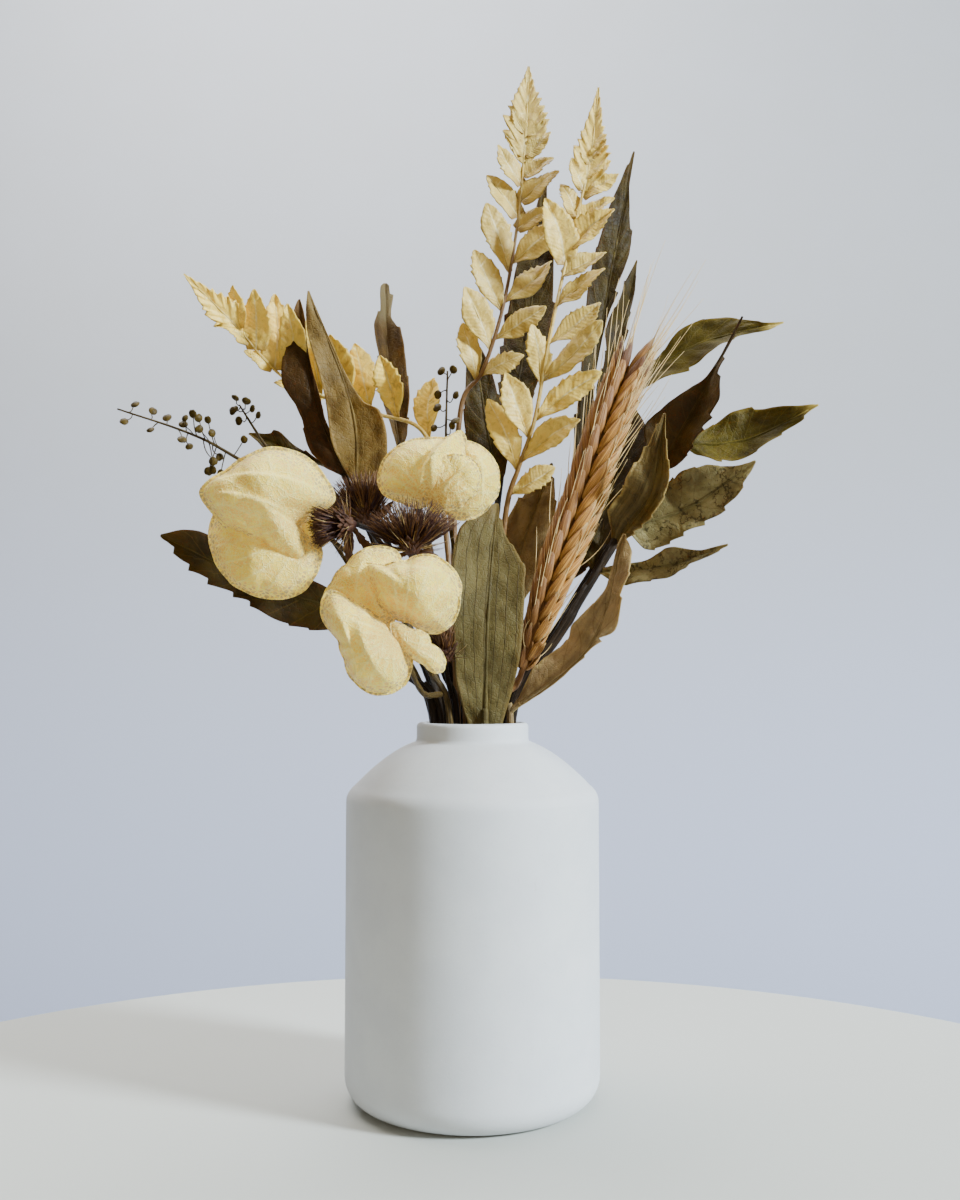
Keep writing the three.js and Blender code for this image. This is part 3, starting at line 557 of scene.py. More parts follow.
@dataclass(frozen=True)
class LeafFinish:
    """Skin of a dried leaf: mottled, with veins, specks and a paler or browner edge."""

    name: str
    base: Colour
    dark: Colour
    edge: Colour
    vein: Colour
    tip: Colour
    tip_start: float = 0.9
    veins: VeinPattern = VeinPattern.PINNATE
    pairs: float = 8.0
    vein_share: float = 0.4
    specks: float = 0.5
    scribble: float = 0.0
    glow: float = 0.15
    rough: float = 0.55

    def veining(self, sketch: Sketch, across: Socket, along: Socket) -> Socket:
        """Share of vein at each place of the blade.

        Args:
            sketch: Nodes of the skin.
            across: Share of the width.
            along: Share of the length.

        Returns:
            Number that is 1 on the midrib and vein_share on a side vein.
        """
        width = sketch.unsigned(across)
        bend = sketch.times(sketch.noise(9.0, 2.0), 0.5)
        if self.veins is VeinPattern.PINNATE:
            lean = sketch.math("SUBTRACT", along, sketch.times(width, 0.16))
            phase = sketch.plus(sketch.times(lean, self.pairs), bend)
            rib = 0.05  # share of the half width
        else:
            phase = sketch.plus(sketch.times(across, 3.4), bend)
            rib = 0.03
        saw = sketch.unsigned(sketch.math("SUBTRACT", sketch.math("FRACT", phase), 0.5))
        fine = sketch.span(saw, 0.012, 0.05, self.vein_share, 0.0)
        middle = sketch.span(width, 0.3 * rib, 1.6 * rib, 1.0, 0.0)
        return sketch.math("MAXIMUM", fine, middle)

    def build(self) -> Material:
        """Makes the material."""
        sketch = Sketch(self.name, self.rough, 0.13)
        across, along = sketch.value(Value.ACROSS), sketch.value(Value.ALONG)
        wide = sketch.unsigned(across)
        blotch = sketch.span(sketch.noise(9.0, 6.0, 0.6, 0.6), 0.34, 0.66)
        streak = sketch.span(sketch.noise(0.22, 4.0, place=sketch.strip(1.2, 0.35)), 0.3, 0.7, 0.0, 0.6)
        skin = sketch.mix(blotch, self.dark, self.base)
        skin = sketch.mix(sketch.times(streak, 0.5), skin, self.edge)
        fray = sketch.plus(wide, sketch.times(sketch.noise(2.2, 4.0), 0.35))
        skin = sketch.coat(skin, self.edge, fray, 0.98, 1.2, 0.0, 0.85)
        veins = self.veining(sketch, across, along)
        skin = sketch.mix(sketch.times(veins, 0.75), skin, self.vein)
        speck = sketch.span(sketch.noise(0.9, 3.0, 0.7), 0.63, 0.7, 0.0, self.specks)
        skin = sketch.mix(speck, skin, darker(self.dark, 0.25))
        if self.scribble:
            contour = sketch.unsigned(sketch.math("SUBTRACT", sketch.noise(3.4, 3.0), 0.5))
            parts = sketch.span(sketch.noise(6.0, 2.0), 0.44, 0.54, 0.0, self.scribble)
            marks = sketch.times(sketch.span(contour, 0.014, 0.044, 1.0, 0.0), parts)
            skin = sketch.mix(marks, skin, darker(self.dark, 0.3))
        end = sketch.plus(along, sketch.times(sketch.noise(4.0, 2.0), 0.08))
        skin = sketch.coat(skin, self.tip, end, self.tip_start, self.tip_start + 0.12, 0.0, 0.8)
        sketch.colour(skin)
        net = sketch.span(sketch.cells(1.5), 0.0, 0.12, -0.35, 0.0)
        relief = sketch.plus(sketch.times(veins, 0.5), sketch.noise(1.1, 5.0))
        sketch.bump(sketch.plus(relief, net), 0.22)
        sketch.glow(self.glow, (1.0, 0.6, 0.25), 1.2)
        return sketch.material


@dataclass(frozen=True)
class StrawFinish:
    """Bleached fern straw: blistered pale skin with painted shade and glints, golden by tint, brown ribs."""

    name: str
    pale: Colour = rgb(206, 178, 94)
    golden: Colour = rgb(246, 208, 96)
    # Painted shade, laid in the hollows of the blisters.
    shade: Colour = rgb(158, 130, 72)
    rib: Colour = rgb(112, 80, 40)
    # Colour of the painted glints on the blister crests and of the pale midrib.
    painted_glint_and_midrib: Colour = rgb(240, 226, 172)

    def build(self) -> Material:
        """Makes the material."""
        sketch = Sketch(self.name, 0.46, 0.35)
        across, tint = sketch.value(Value.ACROSS), sketch.value(Value.TINT)
        along, rib = sketch.value(Value.ALONG), sketch.value(Value.RIB)
        body = sketch.coat(self.pale, self.golden, tint, 0.2, 0.9)
        blister = sketch.noise(2.6, 5.0, 0.6, 0.8)
        # Painted shade: the shade colour in the hollows of the blisters.
        body = sketch.coat(body, self.shade, blister, 0.32, 0.5, 0.55, 0.0)
        # Painted highlight: glints on the crests of the blisters.
        body = sketch.coat(body, self.painted_glint_and_midrib, blister, 0.58, 0.72, 0.0, 0.6)
        body = sketch.coat(body, self.rib, along, 0.02, 0.2, 0.6, 0.0)
        wide = sketch.unsigned(across)
        body = sketch.coat(body, self.rib, wide, 0.9, 1.0, 0.0, 0.3)
        # Pale midrib line along the middle of each leaflet, in the glint colour.
        body = sketch.coat(body, self.painted_glint_and_midrib, wide, 0.03, 0.1, 0.6, 0.0)
        sketch.colour(sketch.mix(rib, body, self.rib))
        slant = sketch.math("SUBTRACT", along, sketch.times(wide, 0.12))
        comb = sketch.math("SINE", sketch.times(slant, 95.0))
        relief = sketch.plus(sketch.times(comb, 0.08), sketch.times(blister, 1.4))
        sketch.bump(relief, 0.3)
        sketch.glow(0.15, (1.0, 0.7, 0.3), 1.2)
        return sketch.material


@dataclass(frozen=True)
class HuskFinish:
    """Ripe wheat: striated husks from mauve tan to gold, with pale awns where the rib value is high."""

    name: str = "ripe_wheat"
    gold: Colour = rgb(190, 134, 58)
    mauve: Colour = rgb(144, 96, 44)
    rust: Colour = rgb(96, 56, 22)
    awn: Colour = rgb(218, 190, 132)

    def build(self) -> Material:
        """Makes the material."""
        sketch = Sketch(self.name, 0.45, 0.4)
        tint, along = sketch.value(Value.TINT), sketch.value(Value.ALONG)
        skin = sketch.coat(self.mauve, self.gold, tint, 0.2, 0.7)
        skin = sketch.coat(skin, self.rust, tint, 0.82, 1.0)
        streak = sketch.noise(0.16, 3.0, place=sketch.strip(2.6, 0.12))
        skin = sketch.coat(skin, self.rust, streak, 0.44, 0.56, 0.7, 0.0)
        skin = sketch.coat(skin, self.awn, streak, 0.56, 0.7, 0.0, 0.35)
        skin = sketch.coat(skin, self.awn, along, 0.75, 1.0, 0.0, 0.5)
        sketch.colour(sketch.mix(sketch.value(Value.RIB), skin, self.awn))
        sketch.bump(sketch.plus(streak, sketch.times(sketch.noise(0.8, 4.0), 0.4)), 0.25)
        return sketch.material


@dataclass(frozen=True)
class PaperFinish:
    """Papery sepals: cream with a net of raised veins, a tan blush, lacy darker margins, painted glow."""

    name: str = "papery_sepal"
    cream: Colour = rgb(255, 217, 86)
    deep: Colour = rgb(238, 195, 86)
    blush: Colour = rgb(196, 138, 62)
    vein: Colour = rgb(252, 234, 144)
    margin: Colour = rgb(150, 134, 104)

    def build(self) -> Material:
        """Makes the material."""
        sketch = Sketch(self.name, 0.5, 0.3)
        across, along = sketch.value(Value.ACROSS), sketch.value(Value.ALONG)
        rib = sketch.value(Value.RIB)
        cloud = sketch.span(sketch.noise(6.0, 5.0, 0.6, 0.5), 0.4, 0.58)
        paper = sketch.mix(cloud, self.deep, self.cream)
        paper = sketch.coat(paper, self.blush, along, 0.0, 0.32, 0.75, 0.0)
        net = sketch.span(sketch.cells(1.0), 0.01, 0.13, 0.6, 0.0)
        paper = sketch.mix(net, paper, self.vein)
        branches = sketch.span(sketch.cells(3.8), 0.0, 0.05, 0.5, 0.0)
        paper = sketch.mix(branches, paper, self.vein)
        paper = sketch.mix(sketch.times(rib, 0.55), paper, self.vein)
        wide = sketch.unsigned(across)
        zone = sketch.plus(wide, sketch.times(sketch.noise(3.0, 3.0), 0.4))
        holes = sketch.span(sketch.cells(1.5), 0.07, 0.2, 0.0, 1.0)
        zone = sketch.times(sketch.span(zone, 0.86, 1.12), holes)
        paper = sketch.mix(sketch.times(zone, 0.7), paper, self.margin)
        sketch.colour(paper)
        relief = sketch.plus(net, sketch.times(sketch.noise(1.3, 5.0), 0.3))
        sketch.bump(sketch.plus(relief, branches), 0.3)
        # Painted glow: the paper gives off its own colour as light, brightening its shaded side.
        sketch.put(sketch.shader.inputs["Emission Color"], paper)
        sketch.put(sketch.shader.inputs["Emission Strength"], 0.22)
        sketch.glow(0.35, (1.0, 0.75, 0.4), 2.5)
        return sketch.material


@dataclass(frozen=True)
class BristleFinish:
    """Thistle bristles: maroon purple, some tan brown by their tint, paler at their ends."""

    name: str = "purple_bristle"
    purple: Colour = rgb(46, 16, 19)
    tan: Colour = rgb(112, 76, 38)
    straw: Colour = rgb(196, 166, 108)
    shadow: Colour = rgb(30, 16, 20)

    def build(self) -> Material:
        """Makes the material."""
        sketch = Sketch(self.name, 0.55, 0.3)
        tint, along = sketch.value(Value.TINT), sketch.value(Value.ALONG)
        hair = sketch.coat(self.purple, self.tan, tint, 0.45, 0.75)
        hair = sketch.coat(hair, self.straw, tint, 0.88, 1.0)
        hair = sketch.coat(hair, self.tan, along, 0.55, 1.0, 0.0, 0.3)
        sketch.colour(sketch.coat(hair, self.shadow, sketch.noise(1.2, 4.0), 0.4, 0.65, 0.4, 0.0))
        sketch.bump(sketch.noise(0.4, 3.0), 0.1)
        return sketch.material


@dataclass(frozen=True)
class BarkFinish:
    """Dry stem skin with streaks along it, and pods in a second colour where the tint is high."""

    name: str
    light: Colour
    dark: Colour
    pod: Colour = rgb(88, 66, 36)
    rough: float = 0.45

    def build(self) -> Material:
        """Makes the material."""
        sketch = Sketch(self.name, self.rough, 0.15)
        streak = sketch.span(sketch.noise(0.3, 4.0, place=sketch.strip(0.7, 6.0)), 0.35, 0.65)
        skin = sketch.mix(streak, self.dark, self.light)
        skin = sketch.coat(skin, self.dark, sketch.noise(3.0, 4.0), 0.55, 0.7, 0.0, 0.5)
        pod = sketch.coat(darker(self.pod, 0.5), self.pod, sketch.noise(1.3, 4.0), 0.38, 0.62)
        sketch.colour(sketch.coat(skin, pod, sketch.value(Value.TINT), 0.45, 0.55))
        sketch.bump(sketch.plus(streak, sketch.noise(0.8, 4.0)), 0.18)
        return sketch.material


@dataclass(frozen=True)
class PlainFinish:
    """Quiet surface of the studio, whose colour changes softly with height."""

    name: str
    low: Colour
    high: Colour
    start: float
    end: float
    rough: float = 0.7

    def build(self) -> Material:
        """Makes the material."""
        sketch = Sketch(self.name, self.rough, 0.2)
        height = sketch.node("SeparateXYZ", {0: sketch.place}).outputs["Z"]
        tone = sketch.coat(self.low, self.high, height, self.start * MM, self.end * MM)
        cloud = sketch.noise(60.0, 3.0)
        sketch.colour(sketch.coat(tone, darker(self.low, 0.9), cloud, 0.3, 0.7, 0.0, 0.04))
        sketch.bump(sketch.noise(1.5, 3.0), 0.02)
        return sketch.material


# ---- Vase and stems ----


@dataclass(frozen=True)
class Vase:
    """Bottle vase turned round its axis, with a short neck and a rounded lip."""

    body_radius: float = 40.0
    base_radius: float = 31.0
    base_round: float = 9.0
    shoulder_height: float = 96.0
    neck_start: float = 112.0
    neck_radius: float = 17.8
    mouth_radius: float = 14.8
    rim_height: float = 118.0
    lip_round: float = 1.4
    wall: float = 4.0
    floor_height: float = 5.0
    sides: int = 192

    def arc(self, centre: Pair, radius: float, start: float, end: float, steps: int = 12) -> list[Pair]:
        """Points of a circle's arc between two angles in degrees."""
        angles = np.radians(np.linspace(start, end, steps))
        return [(centre[0] + radius * math.cos(a), centre[1] + radius * math.sin(a)) for a in angles]

    def bend(self, start: Pair, pull: Pair, end: Pair, steps: int = 14) -> list[Pair]:
        """Points of a curve from start to end, pulled towards a third point."""
        t = np.linspace(0, 1, steps)
        weights = np.stack([(1 - t) ** 2, 2 * t * (1 - t), t**2], -1)
        return [tuple(point) for point in weights @ np.array([start, pull, end])]

    def outline(self) -> Array:
        """Half section from the middle of the foot over the lip to the middle of the inside."""
        shoulder = self.shoulder_height
        turn = self.lip_round
        inner = self.body_radius - self.wall
        slope_start = (37.5, shoulder + 2)
        foot = [(0.0, 0.0), (12.0, 0.0), (24.0, 0.0)]
        foot += self.arc((self.base_radius, self.base_round), self.base_round, -90, 0)
        side = [(self.body_radius, z) for z in np.linspace(self.base_round + 4, shoulder - 5, 22)]
        corner = (self.body_radius, shoulder)
        round_off = self.bend((self.body_radius, shoulder - 3), corner, slope_start, 9)
        slope = self.bend(slope_start, (27.0, 109.0), (self.neck_radius + 0.3, self.neck_start))
        neck = [(self.neck_radius, 113.0), (self.neck_radius, 115.0)]
        lip = self.arc((self.neck_radius - turn, self.rim_height - turn), turn, 0, 180, 11)
        inside = [(self.mouth_radius, 114.0), (self.mouth_radius, 109.0), (22.0, 103.0)]
        inside += [(30.0, 97.5), (inner, 92.0)]
        inside += [(inner, z) for z in np.linspace(85, 13, 12)] + [(33.0, 7.5), (27.0, self.floor_height)]
        inside += [(14.0, self.floor_height), (0.0, self.floor_height)]
        return np.array(foot + side + round_off[1:] + slope[1:] + neck + lip + inside)

    def build(self) -> None:
        """Makes the vase and puts it in its node's place."""
        outline = self.outline()
        angle = np.linspace(0, 2 * math.pi, self.sides, endpoint=False)
        radius, height = outline[:, :1], outline[:, 1:]
        uneven = 1 + 0.0007 * wrinkle(3 * np.cos(angle)[None, :] + height / 30, 3 * np.sin(angle)[None, :], 4)
        radius = np.where(radius < 0.01, 0.02, radius * uneven)
        grid = np.stack([radius * np.cos(angle), radius * np.sin(angle), height * np.ones(self.sides)], -1)
        mesh = PieceMesh()
        mesh.rings(grid, {})
        keep(mesh, "vase", "ceramic", CeramicFinish().build())


FOOT_REACH, FOOT_HEIGHT = 1.75, 5.35
KNEE_REACH, KNEE_HEIGHT = 1.3, 64.0
STEM_JOINTS = (0.52, 0.7, 0.86)
COMPANIONS = ((-1.9, 0.58), (2.1, 0.66))


def rooted(points: Sequence[Point]) -> list[Point]:
    """Points of a stem led on from the mouth of the vase down to its floor, spread towards the wall."""
    x, y, _ = points[0]
    foot = (FOOT_REACH * x, FOOT_REACH * y, FOOT_HEIGHT)
    return [foot, (KNEE_REACH * x, KNEE_REACH * y, KNEE_HEIGHT), *points]


def branched(lines: Sequence[Line]) -> list[Path]:
    """Paths of branches, of which only the first leads down to the floor of the vase."""
    return [Path(points if order else rooted(points)) for order, points in enumerate(lines)]


@dataclass(frozen=True)
class Stem:
    """Woody stem from the floor of the vase up to where its leaves begin."""

    name: str
    points: Line
    radius: Pair

    def path(self) -> Path:
        """Middle line of the stem."""
        return Path(rooted(self.points))

    def radius_at(self, t: float | Array) -> float | Array:
        """Radius at a share of the path."""
        return self.radius[0] + (self.radius[1] - self.radius[0]) * t

    def build(self, material: Material) -> None:
        """Makes the stem with the swellings of its joints and two thin companions beside it."""
        mesh = PieceMesh()
        path = self.path()
        rows = 90
        t = np.linspace(0, 1, rows)
        swell = sum(0.22 * np.exp(-((t - joint) / 0.012) ** 2) for joint in STEM_JOINTS)
        size = (1.2 + 0.5 * np.exp(-5 * t)) * self.radius_at(t) * (1 + swell)
        mesh.tube(path, tuple(zip(t.tolist(), size.tolist())), 12, rows, rough=0.05, seed=len(self.name))
        mouth = unit(np.array([*self.points[0][:2], 0.0]))
        beside = np.array([-mouth[1], mouth[0], 0.0])
        for order, (aside, reach) in enumerate(COMPANIONS):
            shift = aside * beside - 1.6 * mouth
            twin = Path(rooted([tuple(np.array(point) + shift) for point in self.points]))
            mesh.tube(twin, ((0.0, 1.2), (1.0, 0.5)), 9, 60, rough=0.06, seed=order, span=(0.0, reach))
        keep(mesh, self.name, "stem", material)


# ---- Leaves ----


def blade_grid(t: Array, u: Array, right: Array, left: Array) -> tuple[Array, ...]:
    """Measures over the grid of a blade.

    Args:
        t: Share of the length in each row.
        u: Share of the width in each column, -1 at the right edge and 1 at the left.
        right: Half width on the right in each row.
        left: Half width on the left in each row.

    Returns:
        Share of the half width, share of the length, half width, and distance from the middle line.
    """
    half = np.where(u[None, :] > 0, left[:, None], right[:, None])
    return np.abs(u)[None, :], t[:, None] * np.ones_like(u)[None, :], half, half * u[None, :]


def turned(side: Array, rise: Array, angle: Array) -> tuple[Array, Array]:
    """Distances across and above a blade, turned about its middle line."""
    return side * np.cos(angle) - rise * np.sin(angle), side * np.sin(angle) + rise * np.cos(angle)


@dataclass(frozen=True)
class Teeth:
    """Forward-hooked teeth along one edge of a leaf."""

    count: float = 6.0
    depth: float = 1.2
    start: float = 0.12
    end: float = 0.96

    def bite(self, t: Array, seed: int) -> Array:
        """Share of a tooth's depth that is missing from the edge, between 0 and 1."""
        if not self.count:
            return np.zeros_like(t)
        uneven = t + 0.035 * np.sin(9 * t + seed) + 0.02 * np.sin(23 * t + 2 * seed)
        step = (self.count * uneven + 0.37 * seed) % 1.0
        big = 0.65 + 0.35 * np.sin(5.0 * t + 1.7 * seed)
        tooth = (1 - step**1.6) * big * eased(t, self.start - 0.06, self.start + 0.06)
        return tooth * (1 - eased(t, self.end, 1.0))


SMOOTH = Teeth(0.0, 0.0)


@dataclass(frozen=True)
class Leaf:
    """Dried leaf: a folded, waved and curled blade with teeth and raised veins.

    The left and right profiles give the half widths against the share of the length, left being
    the side to the left of somebody who looks at the face along the leaf.
    """

    name: str
    path: Line
    left: Profile
    right: Profile
    face: Point
    stem: str | None = None
    seat: Point | None = None
    stalk: Line = ()
    teeth: tuple[Teeth, Teeth] = (Teeth(), Teeth())
    fold: float = 0.0
    curl: float = 0.25
    wave: float = 1.4
    waves: float = 2.5
    pairs: float = 8.0
    crumple: float = 0.38
    slot: str = "brown_leaf"
    rows: int = 130
    columns: int = 21

    def seed(self) -> int:
        """Number of its own for the uneven parts of this leaf."""
        return sum(map(ord, self.name)) % 97

    def seated(self, stems: dict[str, Stem]) -> Path:
        """Middle line, begun on the skin of the stem that carries the leaf."""
        if self.stem is None:
            return Path(self.path)
        stem = stems[self.stem]
        line = stem.path()
        t = line.nearest(self.path[0])
        at = line.at(t)
        outward = np.array(self.seat, float) if self.seat else np.array(self.path[1]) - at
        along = line.frames(t, FRONT).along[0]
        if t < 0.99:
            outward = outward - along * (outward @ along)
        reach = (0.4 if t >= 0.99 else 0.7) * stem.radius_at(t)
        return Path([at + unit(outward) * reach, *self.path[1:]])

    def blade(self, mesh: PieceMesh, path: Path) -> None:
        """Adds the blade of the leaf."""
        t = np.linspace(0, 1, self.rows) ** 0.97
        u = np.linspace(-1, 1, self.columns)
        u = np.sign(u) * np.abs(u) ** 0.9
        seed = self.seed()
        frames = path.frames(t, self.face)
        sides = []
        for profile, teeth, sign in ((self.right, self.teeth[1], -1), (self.left, self.teeth[0], 1)):
            half = through(t, profile)
            bite = teeth.bite(t, seed + (sign > 0))
            sides.append(np.maximum(half - teeth.depth * bite * np.minimum(1, half / 3), 0.3))
        wide, lean, half, side = blade_grid(t, u, *sides)
        widest = max(value for _, value in self.left + self.right)
        ripple = self.wave * wide**1.6 * np.sin(2 * math.pi * self.waves * lean + seed + 1.3 * np.sign(u))
        ripple = ripple * np.minimum(1, half / 4)
        cup = self.curl * wide**2 * half * np.sin(math.pi * lean) * (0.7 + 0.5 * np.sin(4 * lean + seed))
        phase = 2 * math.pi * self.pairs * (lean - 0.16 * wide)
        quilt = 0.13 * np.cos(phase) * np.sin(math.pi * wide) * np.minimum(1, half / 4)
        keel = -0.55 * np.exp(-((side / 0.8) ** 2))
        rough = self.crumple * wrinkle(side / 2.4, lean * path.length() / 2.6, seed) * np.minimum(1, half / 3)
        rise = np.abs(side) * math.sin(self.fold) + ripple + cup + quilt + keel + rough
        side = side * math.cos(self.fold)
        mesh.blade(frames.offset(side, rise), 0.36 - 0.14 * wide[:, ::-1], lean, u, (seed % 10) / 10)
        rib = np.maximum(0.06 * widest * (1 - 0.85 * t), 0.18)
        mesh.tube(frames.ridge(0.4, 10), ((0.0, rib[0]), (1.0, rib[-1])), 6, 40, rough=0.1)

    def build(self, stems: dict[str, Stem], material: Material) -> None:
        """Makes the leaf in its node's place.

        Args:
            stems: Stems by name.
            material: Skin of the leaf.
        """
        mesh = PieceMesh()
        path = self.seated(stems)
        if self.stalk:
            foot = Path([*rooted(self.stalk), self.path[0], tuple(path.at(0.06))])
            mesh.tube(foot, ((0.0, 1.1), (0.8, 1.0), (1.0, 0.7)), 8, 60, rough=0.06)
        self.blade(mesh, path)
        keep(mesh, self.name, self.slot, material)


# ---- Fern fronds ----


STALKED = ((0.0, 0.1), (0.1, 0.24), (0.28, 0.66), (0.46, 0.96), (0.6, 1.0), (0.75, 0.84), (0.88, 0.52),
           (0.96, 0.24), (1.0, 0.06))
SEATED = ((0.0, 0.6), (0.12, 0.74), (0.4, 1.0), (0.62, 0.88), (0.84, 0.5), (0.95, 0.22), (1.0, 0.06))
CROWN = ((0.0, 0.5), (0.08, 0.92), (0.2, 1.0), (0.42, 0.74), (0.68, 0.4), (0.87, 0.17), (1.0, 0.04))


@dataclass(frozen=True)
class Frond:
    """Bleached frond: toothed leaflets on a thin rib, grown together into a toothed tip.

    Each leaflet is given by its share of the rib above the mouth, its length and its angle.
    """

    name: str
    rachis: Line
    right: Line
    left: Line
    tip_from: float
    tip_width: float
    face: Point
    tint: float = 0.2
    pale_from: float = 290.0
    cut: float = 1.05
    rows: int = 56
    columns: int = 11

    def share(self, t: float) -> float:
        """Share of the rooted path at a share of the rib above the mouth."""
        mouth = 2 / (len(self.rachis) + 1)
        return mouth + (1 - mouth) * t

    def leaflet(self, mesh: PieceMesh, base: Array, direction: Array, face: Array,
                length: float, width: float, droop: float, seed: int, broad: float) -> None:
        """Adds one serrated leaflet.

        Args:
            mesh: Its piece.
            base: Where it leaves the rib.
            direction: Where its tip points.
            face: Direction of its upper side.
            length: Length along the middle.
            width: Greatest width.
            droop: How far the tip bends away from the face.
            seed: Seed of its uneven edge.
            broad: How broad its foot is, from 0 for stalked to 1 for seated on the rib.
        """
        random = np.random.default_rng(seed)
        tip = base + direction * length - face * droop
        bow = np.cross(direction, face) * random.uniform(-0.06, 0.06) * length
        middle = Path([base, (base + tip) / 2 + face * 0.25 * droop + bow, tip])
        t = np.linspace(0, 1, self.rows)
        u = np.linspace(-1, 1, self.columns)
        frames = middle.frames(t, face)
        outline = through(t, STALKED) * (1 - broad) + through(t, SEATED) * broad
        half = 0.5 * width * outline * random.uniform(0.97, 1.08)
        saw = [Teeth(random.uniform(6.5, 8.5), self.cut, 0.4, 0.97).bite(t, seed + k) for k in (1, 2)]
        right, left = (np.maximum(half - self.cut * bite * np.minimum(1, half / 3), 0.22) for bite in saw)
        wide, lean, _, side = blade_grid(t, u, right, left)
        rise = 0.07 * np.cos(2 * math.pi * 8.5 * (lean - 0.13 * wide)) * wide
        phase = 2 * math.pi * (1.1 * lean + random.uniform(0, 1)) + 1.5 * np.sign(u)
        rise = rise + 0.6 * wide**1.5 * np.sin(phase)
        rise = rise + random.uniform(-0.1, 0.35) * np.abs(side)
        rise = rise + 0.45 * wrinkle(side / 1.6, lean * length / 1.9, seed)
        rise = rise * np.minimum(1, half / 1.5)[:, None] - 0.25 * np.exp(-((side / 0.5) ** 2))
        side, rise = turned(side, rise, random.uniform(-0.35, 0.35) * lean)
        tint = min(max(self.tint + random.uniform(-0.2, 0.2), 0.0), 1.0)
        mesh.blade(frames.offset(side, rise), 0.32 - 0.12 * wide[:, ::-1], lean, u, tint)
        mesh.tube(frames.ridge(0.3, 6), ((0.0, 0.34), (1.0, 0.12)), 5, 14, tint=tint)

    def side(self, mesh: PieceMesh, path: Path, leaflets: Sequence[Point], sign: int) -> None:
        """Adds the leaflets of one side, the left one with sign 1 and the right one with sign -1.

        Args:
            mesh: Their piece.
            path: Middle line of the rib.
            leaflets: Place, length and angle of each.
            sign: The side.
        """
        for order, (t, length, degrees) in enumerate(leaflets):
            at, along, up, across = path.frames(self.share(t), self.face).first()
            turn = sign * math.radians(degrees)
            direction = unit(along * math.cos(turn) + across * math.sin(turn) + up * (0.06, 0.26)[order % 2])
            tilt = 0.35 * sign
            face = up * math.cos(tilt) + np.cross(direction, up) * math.sin(tilt)
            seed = 31 * order + (7 if sign > 0 else 3) + len(self.rachis)
            broad = float(eased(np.array(t), 0.58, 0.72))
            width = min(0.47 * length, 10.4) * (1 + 0.12 * broad)
            self.leaflet(mesh, at, direction, face, length, width, 1.5 - order % 3, seed, broad)

    def crown(self, mesh: PieceMesh, path: Path) -> None:
        """Adds the tip, whose leaflets have grown together into one lobed blade."""
        start = self.share(self.tip_from - 0.05)
        t = np.linspace(0, 1, 130)
        u = np.linspace(-1, 1, 17)
        frames = path.frames(start + (1 - start) * t, self.face)
        length = path.length() * (1 - start)
        half = 0.5 * self.tip_width * through(t, CROWN)
        lobes = max(4.0, length / 6.0)
        edges = []
        for seed in (3, 8):
            lobe = Teeth(lobes, 1.0, 0.0, 0.98).bite(t, seed)
            fine = Teeth(lobes * 3.2, 1.0, 0.0, 0.98).bite(t, seed + 5)
            edges.append(np.maximum(half * (1 - 0.34 * lobe) - 0.4 * fine * np.minimum(1, half / 2), 0.25))
        right, left = edges
        wide, lean, _, side = blade_grid(t, u, right, left)
        hook = 0.7 * np.maximum(half, 0.4)[:, None] * wide**1.5
        rise = 0.22 * np.cos(2 * math.pi * lobes * (lean - 0.1 * wide)) * wide
        rise = rise + 0.3 * wrinkle(side / 1.5, lean * length / 2, 5)
        rise = rise * np.minimum(1, half / 1.5)[:, None] + 0.3 * np.abs(side)
        grid = frames.offset(side, rise) + hook[..., None] * frames.along[:, None]
        mesh.blade(grid, 0.3, 0.3 + 0.7 * lean, u, self.tint)

    def build(self, material: Material) -> None:
        """Makes the frond in its node's place."""
        mesh = PieceMesh()
        path = Path(rooted(self.rachis))
        end = self.share(self.tip_from)
        rib = ((0.0, 1.35), (0.25, 1.1), (0.5, 0.7), (end, 0.4), (1.0, 0.2))
        mesh.tube(path, rib, 10, 150, tint=0.55, rough=0.06, seed=2)
        pale = eased(mesh.points[-1][:, 2], self.pale_from - 25, self.pale_from + 25)
        mesh.values[Value.RIB][-1] = 1 - 0.8 * pale
        self.side(mesh, path, self.right, -1)
        self.side(mesh, path, self.left, 1)
        self.crown(mesh, path)
        keep(mesh, self.name, "straw", material)


# ---- Ear of wheat ----


